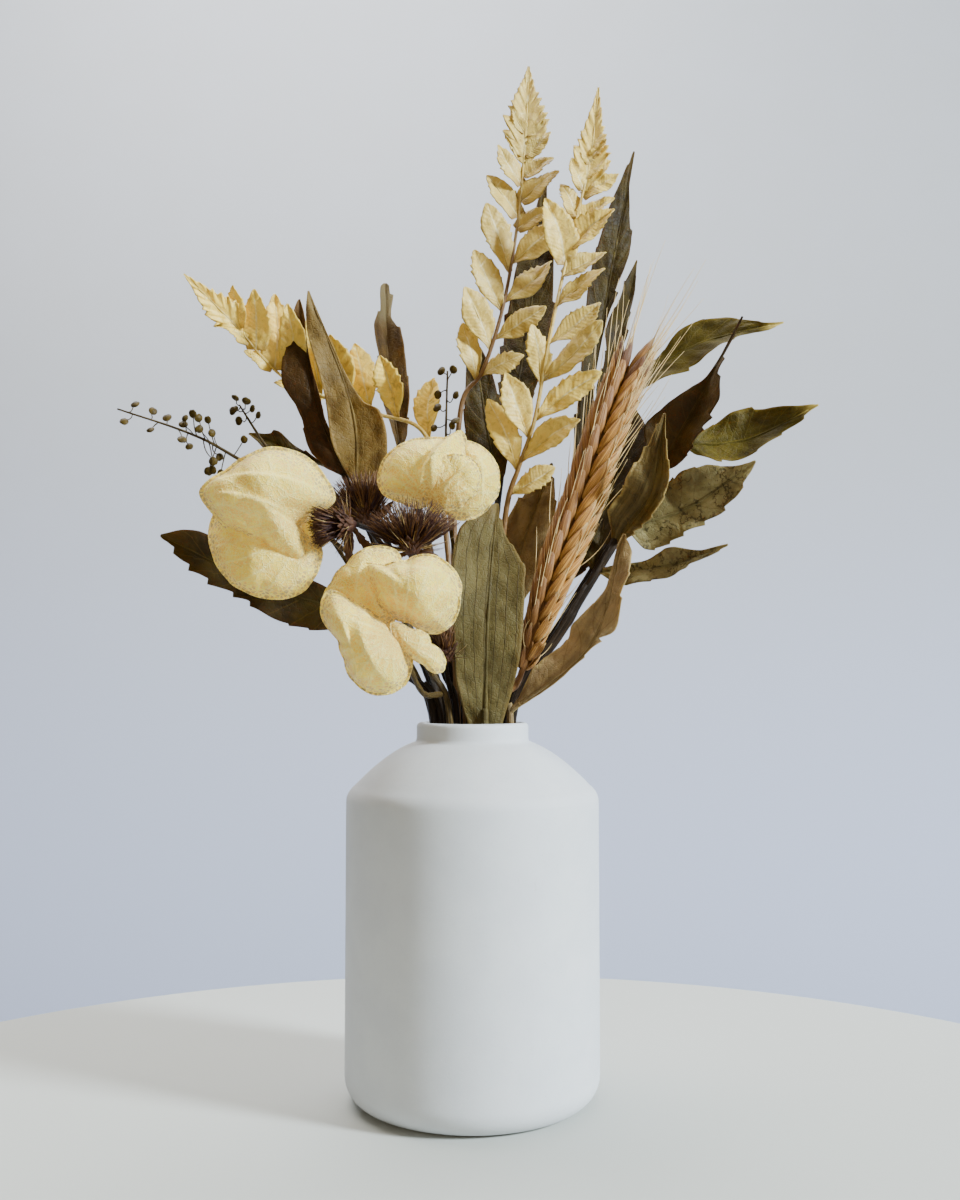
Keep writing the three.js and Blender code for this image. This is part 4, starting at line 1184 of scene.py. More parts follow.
@dataclass(frozen=True)
class WheatEar:
    """Bearded ear: four rows of overlapping husks round a stalk, with long fine awns."""

    name: str = "wheat_ear"
    stalk: Line = ((8.6, -2.4, 119.0), (14.0, -1.5, 130.0))
    axis: Line = ((16, -1, 135), (24, 2, 160), (34, 6, 187), (44, 10, 216), (52, 13, 236))
    spikelets: int = 16
    length: float = 16.5
    width: float = 2.7
    hairs: int = 130

    def husk(self, mesh: PieceMesh, base: Array, direction: Array, face: Array,
             length: float, width: float, tint: float) -> Array:
        """Adds one keeled husk that closes round its grain.

        Args:
            mesh: Its piece.
            base: Foot of the husk.
            direction: Where it points.
            face: Side that bulges outwards.
            length: Length of the husk.
            width: Half of its width.
            tint: Place between mauve, gold and rust.

        Returns:
            The point of the husk, where its awn starts.
        """
        t = np.linspace(0, 1, 22)
        u = np.linspace(-1, 1, 13)
        side_way = unit(np.cross(direction, face))
        outline = through(t, ((0.0, 0.35), (0.2, 0.8), (0.42, 1.0), (0.7, 0.72), (0.9, 0.3), (1.0, 0.06)))
        angle = u[None, :] * 1.75
        half = width * outline[:, None]
        bulge = half * (0.95 * np.cos(angle) + 0.16 * (1 - np.abs(u)[None, :]) ** 2)
        curve = 0.10 * length * (t**2)[:, None]
        groove = 0.09 * np.cos(9 * math.pi * u)[None, :] * np.minimum(1, half)
        points = (
            base + direction * (length * t)[:, None, None]
            + side_way * (half * np.sin(angle))[..., None]
            + face * (bulge + groove - curve)[..., None]
        )
        mesh.blade(points, 0.22, t[:, None] * np.ones_like(u)[None, :], u, tint)
        return base + direction * length + face * (width * 0.05 - 0.1 * length)

    def awn(self, mesh: PieceMesh, start: Array, direction: Array, length: float, bend: Array,
            radius: float = 0.2) -> None:
        """Adds one fine awn."""
        before = len(mesh.points)
        mesh.needle(start - direction * 0.8, start + direction * length, bend, radius, 0.5, rows=9, end=0.25)
        mesh.values[Value.RIB][before] = np.full(len(mesh.points[before]), 0.85)

    def spikelet(self, mesh: PieceMesh, axis: Path, random: Random, step: int, row: int) -> None:
        """Adds the pair of husks of one row at one step up the ear, most of them with an awn.

        Args:
            mesh: Their piece.
            axis: Middle line of the ear.
            random: Random numbers.
            step: Number of the step.
            row: Number of the row round the ear.
        """
        t = (step + 0.5 * (row % 2)) / self.spikelets
        at, along, up, across = axis.frames(t, FRONT).first()
        angle = (0.25 + 0.5 * row) * math.pi
        outward = across * math.cos(angle) + up * math.sin(angle)
        sideways = np.cross(along, outward)
        broad = row in (1, 2)
        size = 0.45 + 0.55 * min(1.0, t / 0.3) * math.sin(math.pi * (0.3 + 0.5 * t)) ** 0.5
        for part in range(2):
            lift = (0.5 if broad else 0.26) + 0.12 * part
            swing = 0.32 * part * (1 if row in (1, 3) else -1)
            aim = unit(along + outward * lift + sideways * swing)
            tint = 0.9 if t > 0.86 else (0.66 if broad else 0.3)
            tint = min(1.0, max(0.0, tint + random.uniform(-0.12, 0.12)))
            length = size * self.length * random.uniform(0.92, 1.04) * (1.0 - 0.08 * part)
            width = 0.5 * size * self.width * (1.55 if broad else 1.25)
            start = at + outward * (0.9 - 0.3 * part) + sideways * swing * 2.2
            face = unit(outward + sideways * swing)
            face = unit(face - aim * (face @ aim))
            end = self.husk(mesh, start, aim, face, length, width, tint)
            if part == 0 or random.uniform() < 0.4:
                slant = aim + along * random.uniform(0.7, 1.1)
                slant = unit(slant + sideways * random.uniform(-0.1, 0.1))
                reach = random.uniform(14, 34) * (0.5 + 0.75 * t)
                bend = outward * random.uniform(-0.6, 1.2) + sideways * random.uniform(-0.8, 0.8)
                self.awn(mesh, end, slant, reach, bend)

    def hair(self, mesh: PieceMesh, axis: Path, random: Random) -> None:
        """Adds one thin awn at the left of the ear.

        Args:
            mesh: Its piece.
            axis: Middle line of the ear.
            random: Random numbers.
        """
        t = random.uniform(0.15, 1.0) ** 0.7
        at, along, up, across = axis.frames(t, FRONT).first()
        angle = random.uniform(0.75 * math.pi, 1.15 * math.pi)
        outward = across * math.cos(angle) + up * math.sin(angle)
        start = at + outward * random.uniform(3.4, 5.4)
        aim = unit(along + outward * random.uniform(0.0, 0.18) + random.normal(0, 0.04, 3))
        self.awn(mesh, start, aim, random.uniform(14, 32), outward * random.uniform(-0.5, 1.5), 0.13)

    def build(self) -> None:
        """Makes the ear in its node's place."""
        mesh = PieceMesh()
        random = np.random.default_rng(11)
        stalk = Path([*rooted(self.stalk), *self.axis])
        mesh.tube(stalk, ((0.0, 1.15), (0.6, 0.95), (1.0, 0.6)), 10, 120, tint=0.1, rough=0.05)
        axis = Path(self.axis)
        for step in range(self.spikelets):
            for row in range(4):
                self.spikelet(mesh, axis, random, step, row)
        for _ in range(self.hairs):
            self.hair(mesh, axis, random)
        keep(mesh, self.name, "wheat", HuskFinish().build())


# ---- Papery lanterns ----


@dataclass(frozen=True)
class Membrane:
    """Papery pouch of a lantern: two domed skins that meet in a free wavy rim."""

    middle: Point
    outline: tuple[Pair, ...]
    front: float
    back: float
    slope: Pair = (0.0, 0.0)
    ruffle: float = 0.6
    folds: tuple[tuple[float, float, float, float, float], ...] = ()
    count: int = 57
    rim: float = 0.93

    def radius(self, angle: Array) -> Array:
        """Distance of the rim from the middle in the given directions."""
        across, upward = np.array(self.outline, float).T
        turn = np.arctan2(upward, across)
        order = np.argsort(turn)
        steps = np.linspace(-math.pi, math.pi, 361)[:-1]
        reach = np.interp(steps, turn[order], np.hypot(across, upward)[order], period=2 * math.pi)
        window = np.exp(-((np.arange(-12, 13) / 4.5) ** 2))
        reach = np.convolve(np.concatenate([reach[-12:], reach, reach[:12]]), window / window.sum(), "valid")
        return np.interp(angle, steps, reach, period=2 * math.pi)

    @staticmethod
    def ledge(x: Array, z: Array, start: Pair, end: Pair,
              height: float) -> tuple[Array, Array]:
        """Bowed free edge of an upper layer of paper.

        Args:
            x: Places across.
            z: Places upwards.
            start: Where the edge starts.
            end: Where it ends.
            height: Thickness of the step; above 0 the layer lies left of the edge, below 0 right of it.

        Returns:
            Step of the surface, and a line that is 1 on the edge.
        """
        length = math.dist(start, end)
        along = ((end[0] - start[0]) / length, (end[1] - start[1]) / length)
        run = ((x - start[0]) * along[0] + (z - start[1]) * along[1]) / length
        bow = 0.1 * length * np.sin(math.pi * np.clip(run, 0, 1)) + 0.25 * np.sin(9 * run)
        off = (z - start[1]) * along[0] - (x - start[0]) * along[1]
        off = math.copysign(1.0, height) * off + bow
        fade = np.sin(math.pi * np.clip(0.06 + 0.88 * run, 0, 1)) ** 0.7
        step = abs(height) * fade / (1 + np.exp(-6 * off)) * np.exp(-np.maximum(off, 0) / 6)
        return step, 0.9 * fade * np.exp(-(((off - 0.3) / 0.3) ** 2))

    def build(self, mesh: PieceMesh, hub: Array, seed: int) -> None:
        """Adds both skins with their veins, folds and crumples.

        Args:
            mesh: Their piece.
            hub: Point that the veins run out from.
            seed: Seed of the unevenness.
        """
        step = np.linspace(-1, 1, self.count)
        u, v = np.meshgrid(step, step)
        across, upward = u * np.sqrt(1 - v**2 / 2), v * np.sqrt(1 - u**2 / 2)
        share, angle = np.hypot(across, upward), np.arctan2(upward, across)
        wave = np.sin(5 * angle + seed) + 0.6 * np.sin(9 * angle + 2 * seed) + 0.3 * np.sin(17 * angle + seed)
        reach = self.radius(angle) * share * (1 + 0.012 * self.ruffle * wave * share**6)
        x, z = reach * np.cos(angle), reach * np.sin(angle)
        from_hub = (x + self.middle[0] - hub[0], z + self.middle[2] - hub[2])
        far = np.hypot(*from_hub)
        line = np.arctan2(from_hub[1], from_hub[0]) / 0.27 + 0.22 * np.sin(far / 4.5 + seed)
        ribs = np.exp(-(((line - np.round(line)) * 0.27 * far / 0.3) ** 2)) * np.clip(far / 8, 0, 1)
        crease = 0.9 * wrinkle(x / 7.0, z / 7.0, seed) + 0.5 * wrinkle(x / 3.4, z / 3.4, seed + 2)
        crease = crease + 0.16 * wrinkle(x / 1.4, z / 1.4, seed + 1)
        for x0, z0, x1, z1, height in self.folds:
            raised, edge = self.ledge(x, z, (x0, z0), (x1, z1), height)
            crease = crease - raised
            ribs = np.maximum(ribs, edge)
        body = np.clip(1 - (share / self.rim) ** 2, 0, 1)
        tilt = self.slope[0] * x + self.slope[1] * z + self.ruffle * wave * share**3
        values = {
            Value.ALONG: np.clip(far / 45, 0, 1), Value.ACROSS: share, Value.RIB: ribs,
            Value.TINT: (seed % 9) / 9,
        }
        for depth, side in ((self.front, -1.0), (-self.back, 1.0)):
            skin = -depth * body**0.62 + tilt + crease * (0.25 + body**0.5) + side * 0.25 * ribs * body**0.5
            grid = np.stack([x + self.middle[0], skin + self.middle[1] + side * 0.12, z + self.middle[2]], -1)
            mesh.sheet(grid, 0.24, values)


@dataclass(frozen=True)
class Lantern:
    """Papery husk: pouches that overlap round one hub and end in a point."""

    name: str
    hub: Point
    apex: Point
    pouches: tuple[Membrane, ...]

    def build(self, material: Material) -> None:
        """Makes the lantern in its node's place."""
        mesh = PieceMesh()
        hub, tip = np.array(self.hub), np.array(self.apex)
        axis = unit(tip - hub)
        for number, pouch in enumerate(self.pouches):
            pouch.build(mesh, hub, sum(map(ord, self.name)) % 50 + 11 * number)
        knob = Path([hub - axis * 3, hub, hub + axis * 3])
        mesh.tube(knob, ((0.0, 1.6), (0.5, 2.9), (1.0, 1.8)), 14, 16, rough=0.1)
        keep(mesh, self.name, "paper", material)


# ---- Thistle heads ----


Axes = tuple[Array, Array, Array, Array]
SCALE_RINGS = 4
RING_SCALES = 9
PALE_BRISTLE = 0.97


@dataclass(frozen=True)
class ThistleHead:
    """Small head: a cup of pointed scales with a brush of thin bristles."""

    name: str
    base: Point
    direction: Point
    length: float
    spread: float
    seed: int
    brown: float = 0.3
    skirt: int = 70
    bracts: Line = ()
    bristles: int = 560
    flatness: float = 0.45

    def scale(self, mesh: PieceMesh, root: Array, aim: Array, face: Array, length: float) -> None:
        """Adds one pointed scale of the cup.

        Args:
            mesh: Its piece.
            root: Foot of the scale.
            aim: Where it points.
            face: Side that looks outwards.
            length: Length of the scale.
        """
        t = np.linspace(0, 1, 8)
        u = np.linspace(-1, 1, 5)
        side = unit(np.cross(aim, face))
        half = through(t, ((0.0, 0.7), (0.4, 1.0), (1.0, 0.08)))[:, None] * u[None, :]
        rise = 0.25 * (t**2)[:, None] * length + 0.25 * (1 - u**2)[None, :]
        points = root + aim * (length * t)[:, None, None] + side * half[..., None] + face * rise[..., None]
        mesh.sheet(points[:, ::-1], 0.2, {Value.ALONG: 0.5 * t[:, None] * np.ones(5), Value.TINT: 0.56})

    def bract(self, mesh: PieceMesh, root: Array, reach: Array, order: int) -> None:
        """Adds one small dark toothed leaf that stands off from the head.

        Args:
            mesh: Its piece.
            root: Foot of the leaf.
            reach: From its foot to its tip.
            order: Number of the leaf.
        """
        t, u = np.linspace(0, 1, 40), np.linspace(-1, 1, 9)
        bend = np.array([0.0, -1.2, 0.8]) * (1 if order % 2 else -1)
        frames = Path([root, root + 0.5 * reach + bend, root + reach]).frames(t, (0.2, -1.0, 0.3))
        half = through(t, ((0.0, 0.4), (0.3, 1.2), (0.6, 1.6), (0.85, 0.9), (1.0, 0.1)))
        half = half - 0.7 * Teeth(5.0, 1.0, 0.15).bite(t, order) * np.minimum(1, half / 2)
        side = half[:, None] * u[None, :]
        rise = 0.3 * np.abs(side) + 0.4 * wrinkle(side, 8 * t[:, None], order)
        mesh.sheet(frames.offset(side, rise)[:, ::-1], 0.3, {Value.ALONG: 0.0, Value.TINT: 0.6})

    def cup(self, mesh: PieceMesh, axes: Axes) -> None:
        """Adds the rings of scales round the foot of the head."""
        root, axis, wide, deep = axes
        core = Path([root - axis * 0.6, root + axis * 2.4, root + axis * 4.6])
        mesh.tube(core, ((0.0, 0.9), (0.45, 2.7), (1.0, 1.5)), 14, 12, tint=0.5, rough=0.08)
        for ring in range(SCALE_RINGS):
            for number in range(RING_SCALES):
                turn = 2 * math.pi * (number + 0.5 * ring) / RING_SCALES
                out = wide * math.cos(turn) + deep * math.sin(turn)
                foot = root + axis * (0.6 + 1.0 * ring) + out * (1.9 + 0.25 * ring)
                self.scale(mesh, foot, unit(axis + 0.45 * out), out, 3.4)

    def brush(self, mesh: PieceMesh, axes: Axes, random: Random) -> None:
        """Adds the bristles that fan out from the cup.

        Args:
            mesh: Their piece.
            axes: Axes of the head.
            random: Random numbers.
        """
        root, axis, wide, deep = axes
        for number in range(self.bristles):
            lean = math.tan(self.spread) * math.sqrt((number + 0.5) / self.bristles)
            turn = number * GOLDEN_ANGLE
            aim = unit(axis + wide * lean * math.cos(turn) + deep * self.flatness * lean * math.sin(turn))
            reach = self.length * random.uniform(0.78, 1.06)
            jitter = random.normal(0, 0.35, 3)
            start = root + axis * 1.2 + aim * 2.2
            bend = random.normal(0, 0.45, 3)
            tint = random.uniform(0.55, 0.86) if random.uniform() < self.brown else random.uniform(0.0, 0.4)
            if random.uniform() < 0.04:
                tint = PALE_BRISTLE
            mesh.needle(start, root + aim * reach + jitter, bend, 0.27, tint, rows=5, end=0.25)

    def fringe(self, mesh: PieceMesh, axes: Axes, random: Random) -> None:
        """Adds the looser bristles that stand out under the brush.

        Args:
            mesh: Their piece.
            axes: Axes of the head.
            random: Random numbers.
        """
        root, axis, wide, deep = axes
        for number in range(self.skirt):
            turn = GOLDEN_ANGLE * number
            out = wide * math.cos(turn) + deep * self.flatness * math.sin(turn)
            aim = unit(axis * random.uniform(0.1, 1.0) + out * random.uniform(0.7, 1.1))
            reach = self.length * random.uniform(0.5, 0.85)
            tint = PALE_BRISTLE if random.uniform() < 0.35 else random.uniform(0.4, 0.8)
            start = root + axis * 1.2 + aim * 1.5
            mesh.needle(start, root + aim * reach, axis * random.uniform(-1, 0.4), 0.22, tint, rows=5)

    def build(self, material: Material) -> None:
        """Makes the head in its node's place."""
        mesh = PieceMesh()
        random = np.random.default_rng(self.seed)
        root, axis = np.array(self.base), unit(np.array(self.direction, float))
        wide = unit(np.cross(axis, np.array(FRONT)))
        axes = (root, axis, wide, np.cross(axis, wide))
        self.cup(mesh, axes)
        self.brush(mesh, axes, random)
        self.fringe(mesh, axes, random)
        for order, bract in enumerate(self.bracts):
            self.bract(mesh, root + axis, np.array(bract, float), order)
        keep(mesh, self.name, "purple", material)


# ---- Pod sprays and branching stems ----


@dataclass(frozen=True)
class PodSpray:
    """Thin twigs with flat round pods on hair-thin stalks."""

    name: str
    twigs: tuple[Line, ...]
    pods: tuple[tuple[int, float, float, float], ...]
    pod_radius: float = 1.5

    def pod(self, mesh: PieceMesh, start: Array, centre: Array, face: Array, seed: int) -> None:
        """Adds one notched flat pod and its curved stalk.

        Args:
            mesh: Its piece.
            start: Where the stalk leaves the twig.
            centre: Middle of the pod.
            face: Flat side of the pod.
            seed: Seed of its size and bend.
        """
        random = np.random.default_rng(seed)
        aim = unit(centre - start)
        side = unit(np.cross(aim, face))
        up = np.cross(side, aim)
        angle = np.linspace(0, 2 * math.pi, 20, endpoint=False)
        size = self.pod_radius * random.uniform(0.82, 1.08)
        notch = 1 - 0.16 * np.exp(-(((angle - 0.5 * math.pi) / 0.28) ** 2))
        rings = []
        for height in np.linspace(-1, 1, 7):
            share = max(math.sqrt(max(0.0, 1 - abs(height) ** 2.2)), 0.08)
            x = size * share * np.cos(angle) * notch
            y = size * share * np.sin(angle) * notch
            bulge = 0.62 * height * (1 - 0.25 * share)
            rings.append(centre + side * x[:, None] + aim * y[:, None] + up * bulge)
        mesh.rings(np.array(rings), {Value.TINT: 1.0, Value.ALONG: 0.5})
        bend = side * random.uniform(-0.9, 0.9) + np.array([0, 0, -0.5])
        mesh.needle(start, centre - aim * size * 0.8, bend, 0.24, 0.2, rows=8, end=0.8)

    def build(self, material: Material) -> None:
        """Makes the spray in its node's place."""
        mesh = PieceMesh()
        paths = branched(self.twigs)
        for order, path in enumerate(paths):
            start = 0.6 if order else 0.9
            mesh.tube(path, ((0.0, start), (0.6, 0.7 * start), (1.0, 0.28)), 8, 90, rough=0.08, seed=order)
        for order, (twig, t, left, up) in enumerate(self.pods):
            start = paths[twig].at(t)
            centre = start + np.array([-left, -2.5 if order % 2 else 2, up])
            face = np.array([0.5 * ((order % 3) - 1), -1.0, 0.2])
            self.pod(mesh, start, centre, unit(face), order + 5)
        keep(mesh, self.name, "twig", material)


@dataclass(frozen=True)
class BranchedStem:
    """Thin stem with side branches to several heads."""

    name: str
    branches: tuple[Line, ...]
    radii: tuple[Pair, ...]
    slot: str

    def build(self, material: Material) -> None:
        """Makes the stem in its node's place."""
        mesh = PieceMesh()
        for order, (path, (low, high)) in enumerate(zip(branched(self.branches), self.radii)):
            mesh.tube(path, ((0.0, low), (1.0, high)), 10, 80, rough=0.08, seed=order)
        keep(mesh, self.name, self.slot, material)


# ---- Studio ----


def set_up(name: str, data: bpy.types.ID, place: Point) -> bpy.types.Object:
    """Puts a light or a camera in its place in the scene."""
    item = bpy.data.objects.new(name, data)
    bpy.context.scene.collection.objects.link(item)
    item.location = tuple(value * MM for value in place)
    return item


@dataclass(frozen=True)
class Lamp:
    """Round soft light that looks at a target."""

    name: str
    place: Point
    target: Point
    size: float
    power: float
    colour: Colour

    def build(self) -> None:
        """Makes the light."""
        data = bpy.data.lights.new(self.name, "AREA")
        data.shape = "DISK"
        data.size = self.size * MM
        data.energy = self.power
        data.color = self.colour
        lamp = set_up(self.name, data, self.place)
        aim = Vector(self.target) * MM - lamp.location
        lamp.rotation_euler = aim.to_track_quat("-Z", "Y").to_euler()


LAMPS = (
    Lamp("key", (1575.0, -780.0, 900.0), (0.0, 0.0, 120.0), 360.0, 108.0, (0.81, 0.925, 1.0)),
    Lamp("overhead", (120.0, -160.0, 1250.0), (0.0, 0.0, 100.0), 1300.0, 3.2, (1.0, 0.76, 0.42)),
    Lamp("front_fill", (-150.0, -1400.0, 420.0), (0.0, 0.0, 150.0), 900.0, 5.0, (1.0, 0.88, 0.7)),
    Lamp("wall_wash", (-220.0, 300.0, 1000.0), (-110.0, 900.0, -60.0), 900.0, 18.2, (1.0, 1.0, 1.0)),
)


@dataclass(frozen=True)
class Studio:
    """Round pale table in front of a pale wall, soft light from the right, and the camera."""

    table_centre: Pair = (1.0, -88.0)
    table_radius: float = 258.0
    table_edge: float = 3.0
    table_depth: float = 24.0
    table_sides: int = 240
    wall_distance: float = 900.0
    wall_across: Pair = (-1600.0, 1600.0)
    wall_upward: Pair = (-900.0, 2000.0)
    air_colour: Colour = (1.0, 0.88, 0.66)
    air_strength: float = 0.09
    camera_place: Point = (2.4, -416.5, 133.7)
    camera_pitch: float = 0.056
    lens: float = 39.0
    sensor_width: float = 36.0
    nearest: float = 10.0

    def table(self) -> bpy.types.Object:
        """Makes the round table top with a rounded edge."""
        edge = self.table_edge
        inner = self.table_radius - edge
        quarter = np.linspace(0, 1.57, 8)
        arc = [(inner + edge * math.sin(a), -edge + edge * math.cos(a)) for a in quarter]
        outline = [(0.05, 0.0), (80.0, 0.0), (180.0, 0.0), *arc]
        outline += [(self.table_radius, -self.table_depth), (0.05, -self.table_depth)]
        angle = np.linspace(0, 2 * math.pi, self.table_sides, endpoint=False)
        radius, height = (np.array(column)[:, None] for column in zip(*outline))
        x = self.table_centre[0] + radius * np.cos(angle)
        y = self.table_centre[1] + radius * np.sin(angle)
        mesh = PieceMesh()
        mesh.rings(np.stack([x, y, height * np.ones(self.table_sides)], -1)[::-1], {})
        finish = PlainFinish("pale_table", rgb(191, 194, 188), rgb(193, 195, 189), -30, 0, 0.55)
        return mesh.build("table_top", finish.build())

    def wall(self) -> bpy.types.Object:
        """Makes the wall behind the table."""
        mesh = PieceMesh()
        x, z = np.meshgrid(np.linspace(*self.wall_across, 9), np.linspace(*self.wall_upward, 9))
        mesh.sheet(np.stack([x, np.full_like(x, self.wall_distance), z], -1), 10.0, {})
        # The wall is bluish low down; its darkening and greying towards the top is painted shade.
        finish = PlainFinish("pale_wall", rgb(197, 206, 233), rgb(168, 170, 175), -150, 480, 0.9)
        return mesh.build("wall", finish.build())

    def camera(self) -> None:
        """Makes the camera, level but for a small pitch upwards."""
        data = bpy.data.cameras.new("main_camera")
        data.lens = self.lens
        data.sensor_width = self.sensor_width
        data.clip_start = self.nearest * MM
        eye = set_up("main_camera", data, self.camera_place)
        eye.rotation_euler = (math.pi / 2 + self.camera_pitch, 0.0, 0.0)
        bpy.context.scene.camera = eye

    def air(self) -> None:
        """Makes the faint even light from all round."""
        world = bpy.data.worlds.new("studio_air")
        world.use_nodes = True
        background = world.node_tree.nodes["Background"]
        background.inputs["Color"].default_value = (*self.air_colour, 1.0)
        background.inputs["Strength"].default_value = self.air_strength
        bpy.context.scene.world = world

    def build(self) -> None:
        """Makes the whole studio."""
        self.table()
        self.wall()
        for lamp in LAMPS:
            lamp.build()
        self.air()
        self.camera()


# ---- The bouquet ----


class Skin(Enum):
    """Skins of the leaves."""

    DARK = LeafFinish("dark_leaf_skin", rgb(60, 40, 13), rgb(36, 24, 7), rgb(84, 60, 28),
                      rgb(78, 56, 24), rgb(98, 74, 40))
    GREY = LeafFinish("grey_tipped_leaf_skin", rgb(74, 54, 22), rgb(44, 31, 12), rgb(92, 70, 36),
                      rgb(94, 72, 36), rgb(116, 103, 72), tip_start=0.74)
    OLIVE = LeafFinish("olive_leaf_skin", rgb(56, 46, 8), rgb(34, 26, 4), rgb(58, 40, 12),
                       rgb(92, 75, 26), rgb(78, 60, 18))
    GREEN = LeafFinish("green_leaf_skin", rgb(70, 61, 7), rgb(48, 41, 4), rgb(96, 80, 18),
                       rgb(108, 94, 32), rgb(214, 192, 104), glow=0.1, pairs=9.0)
    TAUPE = LeafFinish("taupe_leaf_skin", rgb(108, 87, 43), rgb(76, 59, 27), rgb(146, 122, 72),
                       rgb(76, 56, 26), rgb(128, 108, 66), vein_share=0.3)
    VEINED = LeafFinish("veined_leaf_skin", rgb(98, 89, 53), rgb(76, 68, 38), rgb(96, 80, 40),
                        rgb(44, 32, 14), rgb(104, 86, 46), veins=VeinPattern.PARALLEL, vein_share=1.0)
    MOTTLED = LeafFinish("mottled_leaf_skin", rgb(140, 130, 86), rgb(98, 88, 54), rgb(104, 91, 50),
                         rgb(62, 48, 24), rgb(140, 127, 80), vein_share=0.3, specks=0.95, scribble=0.8)
    MAUVE = LeafFinish("mauve_brown_leaf_skin", rgb(80, 63, 28), rgb(56, 43, 19), rgb(56, 42, 18),
                       rgb(94, 72, 34), rgb(40, 28, 12), vein_share=0.35)
    RIMMED = LeafFinish("pale_rimmed_leaf_skin", rgb(138, 114, 78), rgb(106, 87, 60),
                        rgb(168, 146, 94), rgb(80, 60, 28), rgb(92, 70, 32))
    EDGED = LeafFinish("thin_edged_leaf_skin", rgb(74, 58, 20), rgb(48, 37, 11), rgb(158, 136, 82),
                       rgb(98, 78, 36), rgb(70, 54, 20))
    KHAKI = LeafFinish("khaki_leaf_skin", rgb(140, 119, 78), rgb(106, 88, 56), rgb(122, 100, 54),
                       rgb(112, 88, 46), rgb(86, 64, 28), vein_share=0.35)


STEMS = (
    Stem("stem_left", ((-11, 6.5, 119), (-22, 9, 151), (-35, 12, 183), (-43, 13, 200)), (1.7, 0.9)),
    Stem("stem_left_back", ((-5, 11, 119), (-14, 24, 172), (-25, 36, 210), (-29, 42, 230)), (1.5, 0.8)),
    Stem("stem_left_low", ((-12, -4, 119), (-22, -4, 135), (-38, -4, 153)), (1.5, 0.9)),
    Stem("stem_back", ((1, 12, 119), (6, 26, 172), (11, 38, 211)), (1.6, 0.8)),
    Stem("stem_right_up", ((8, 9.5, 119), (25, 26, 162), (36, 40, 202), (45, 48, 232)), (1.8, 0.9)),
    Stem("stem_right", ((12, 3, 119), (29, 5, 148), (47, 10, 177), (61, 16, 199), (71, 20, 211)), (1.9, 0.9)),
)

BLUNT = Teeth(3.0, 1.0)
SPARSE = Teeth(4.0, 1.4)
EVEN = Teeth(7.0, 1.3)
SHARP = Teeth(8.0, 2.0, 0.35)

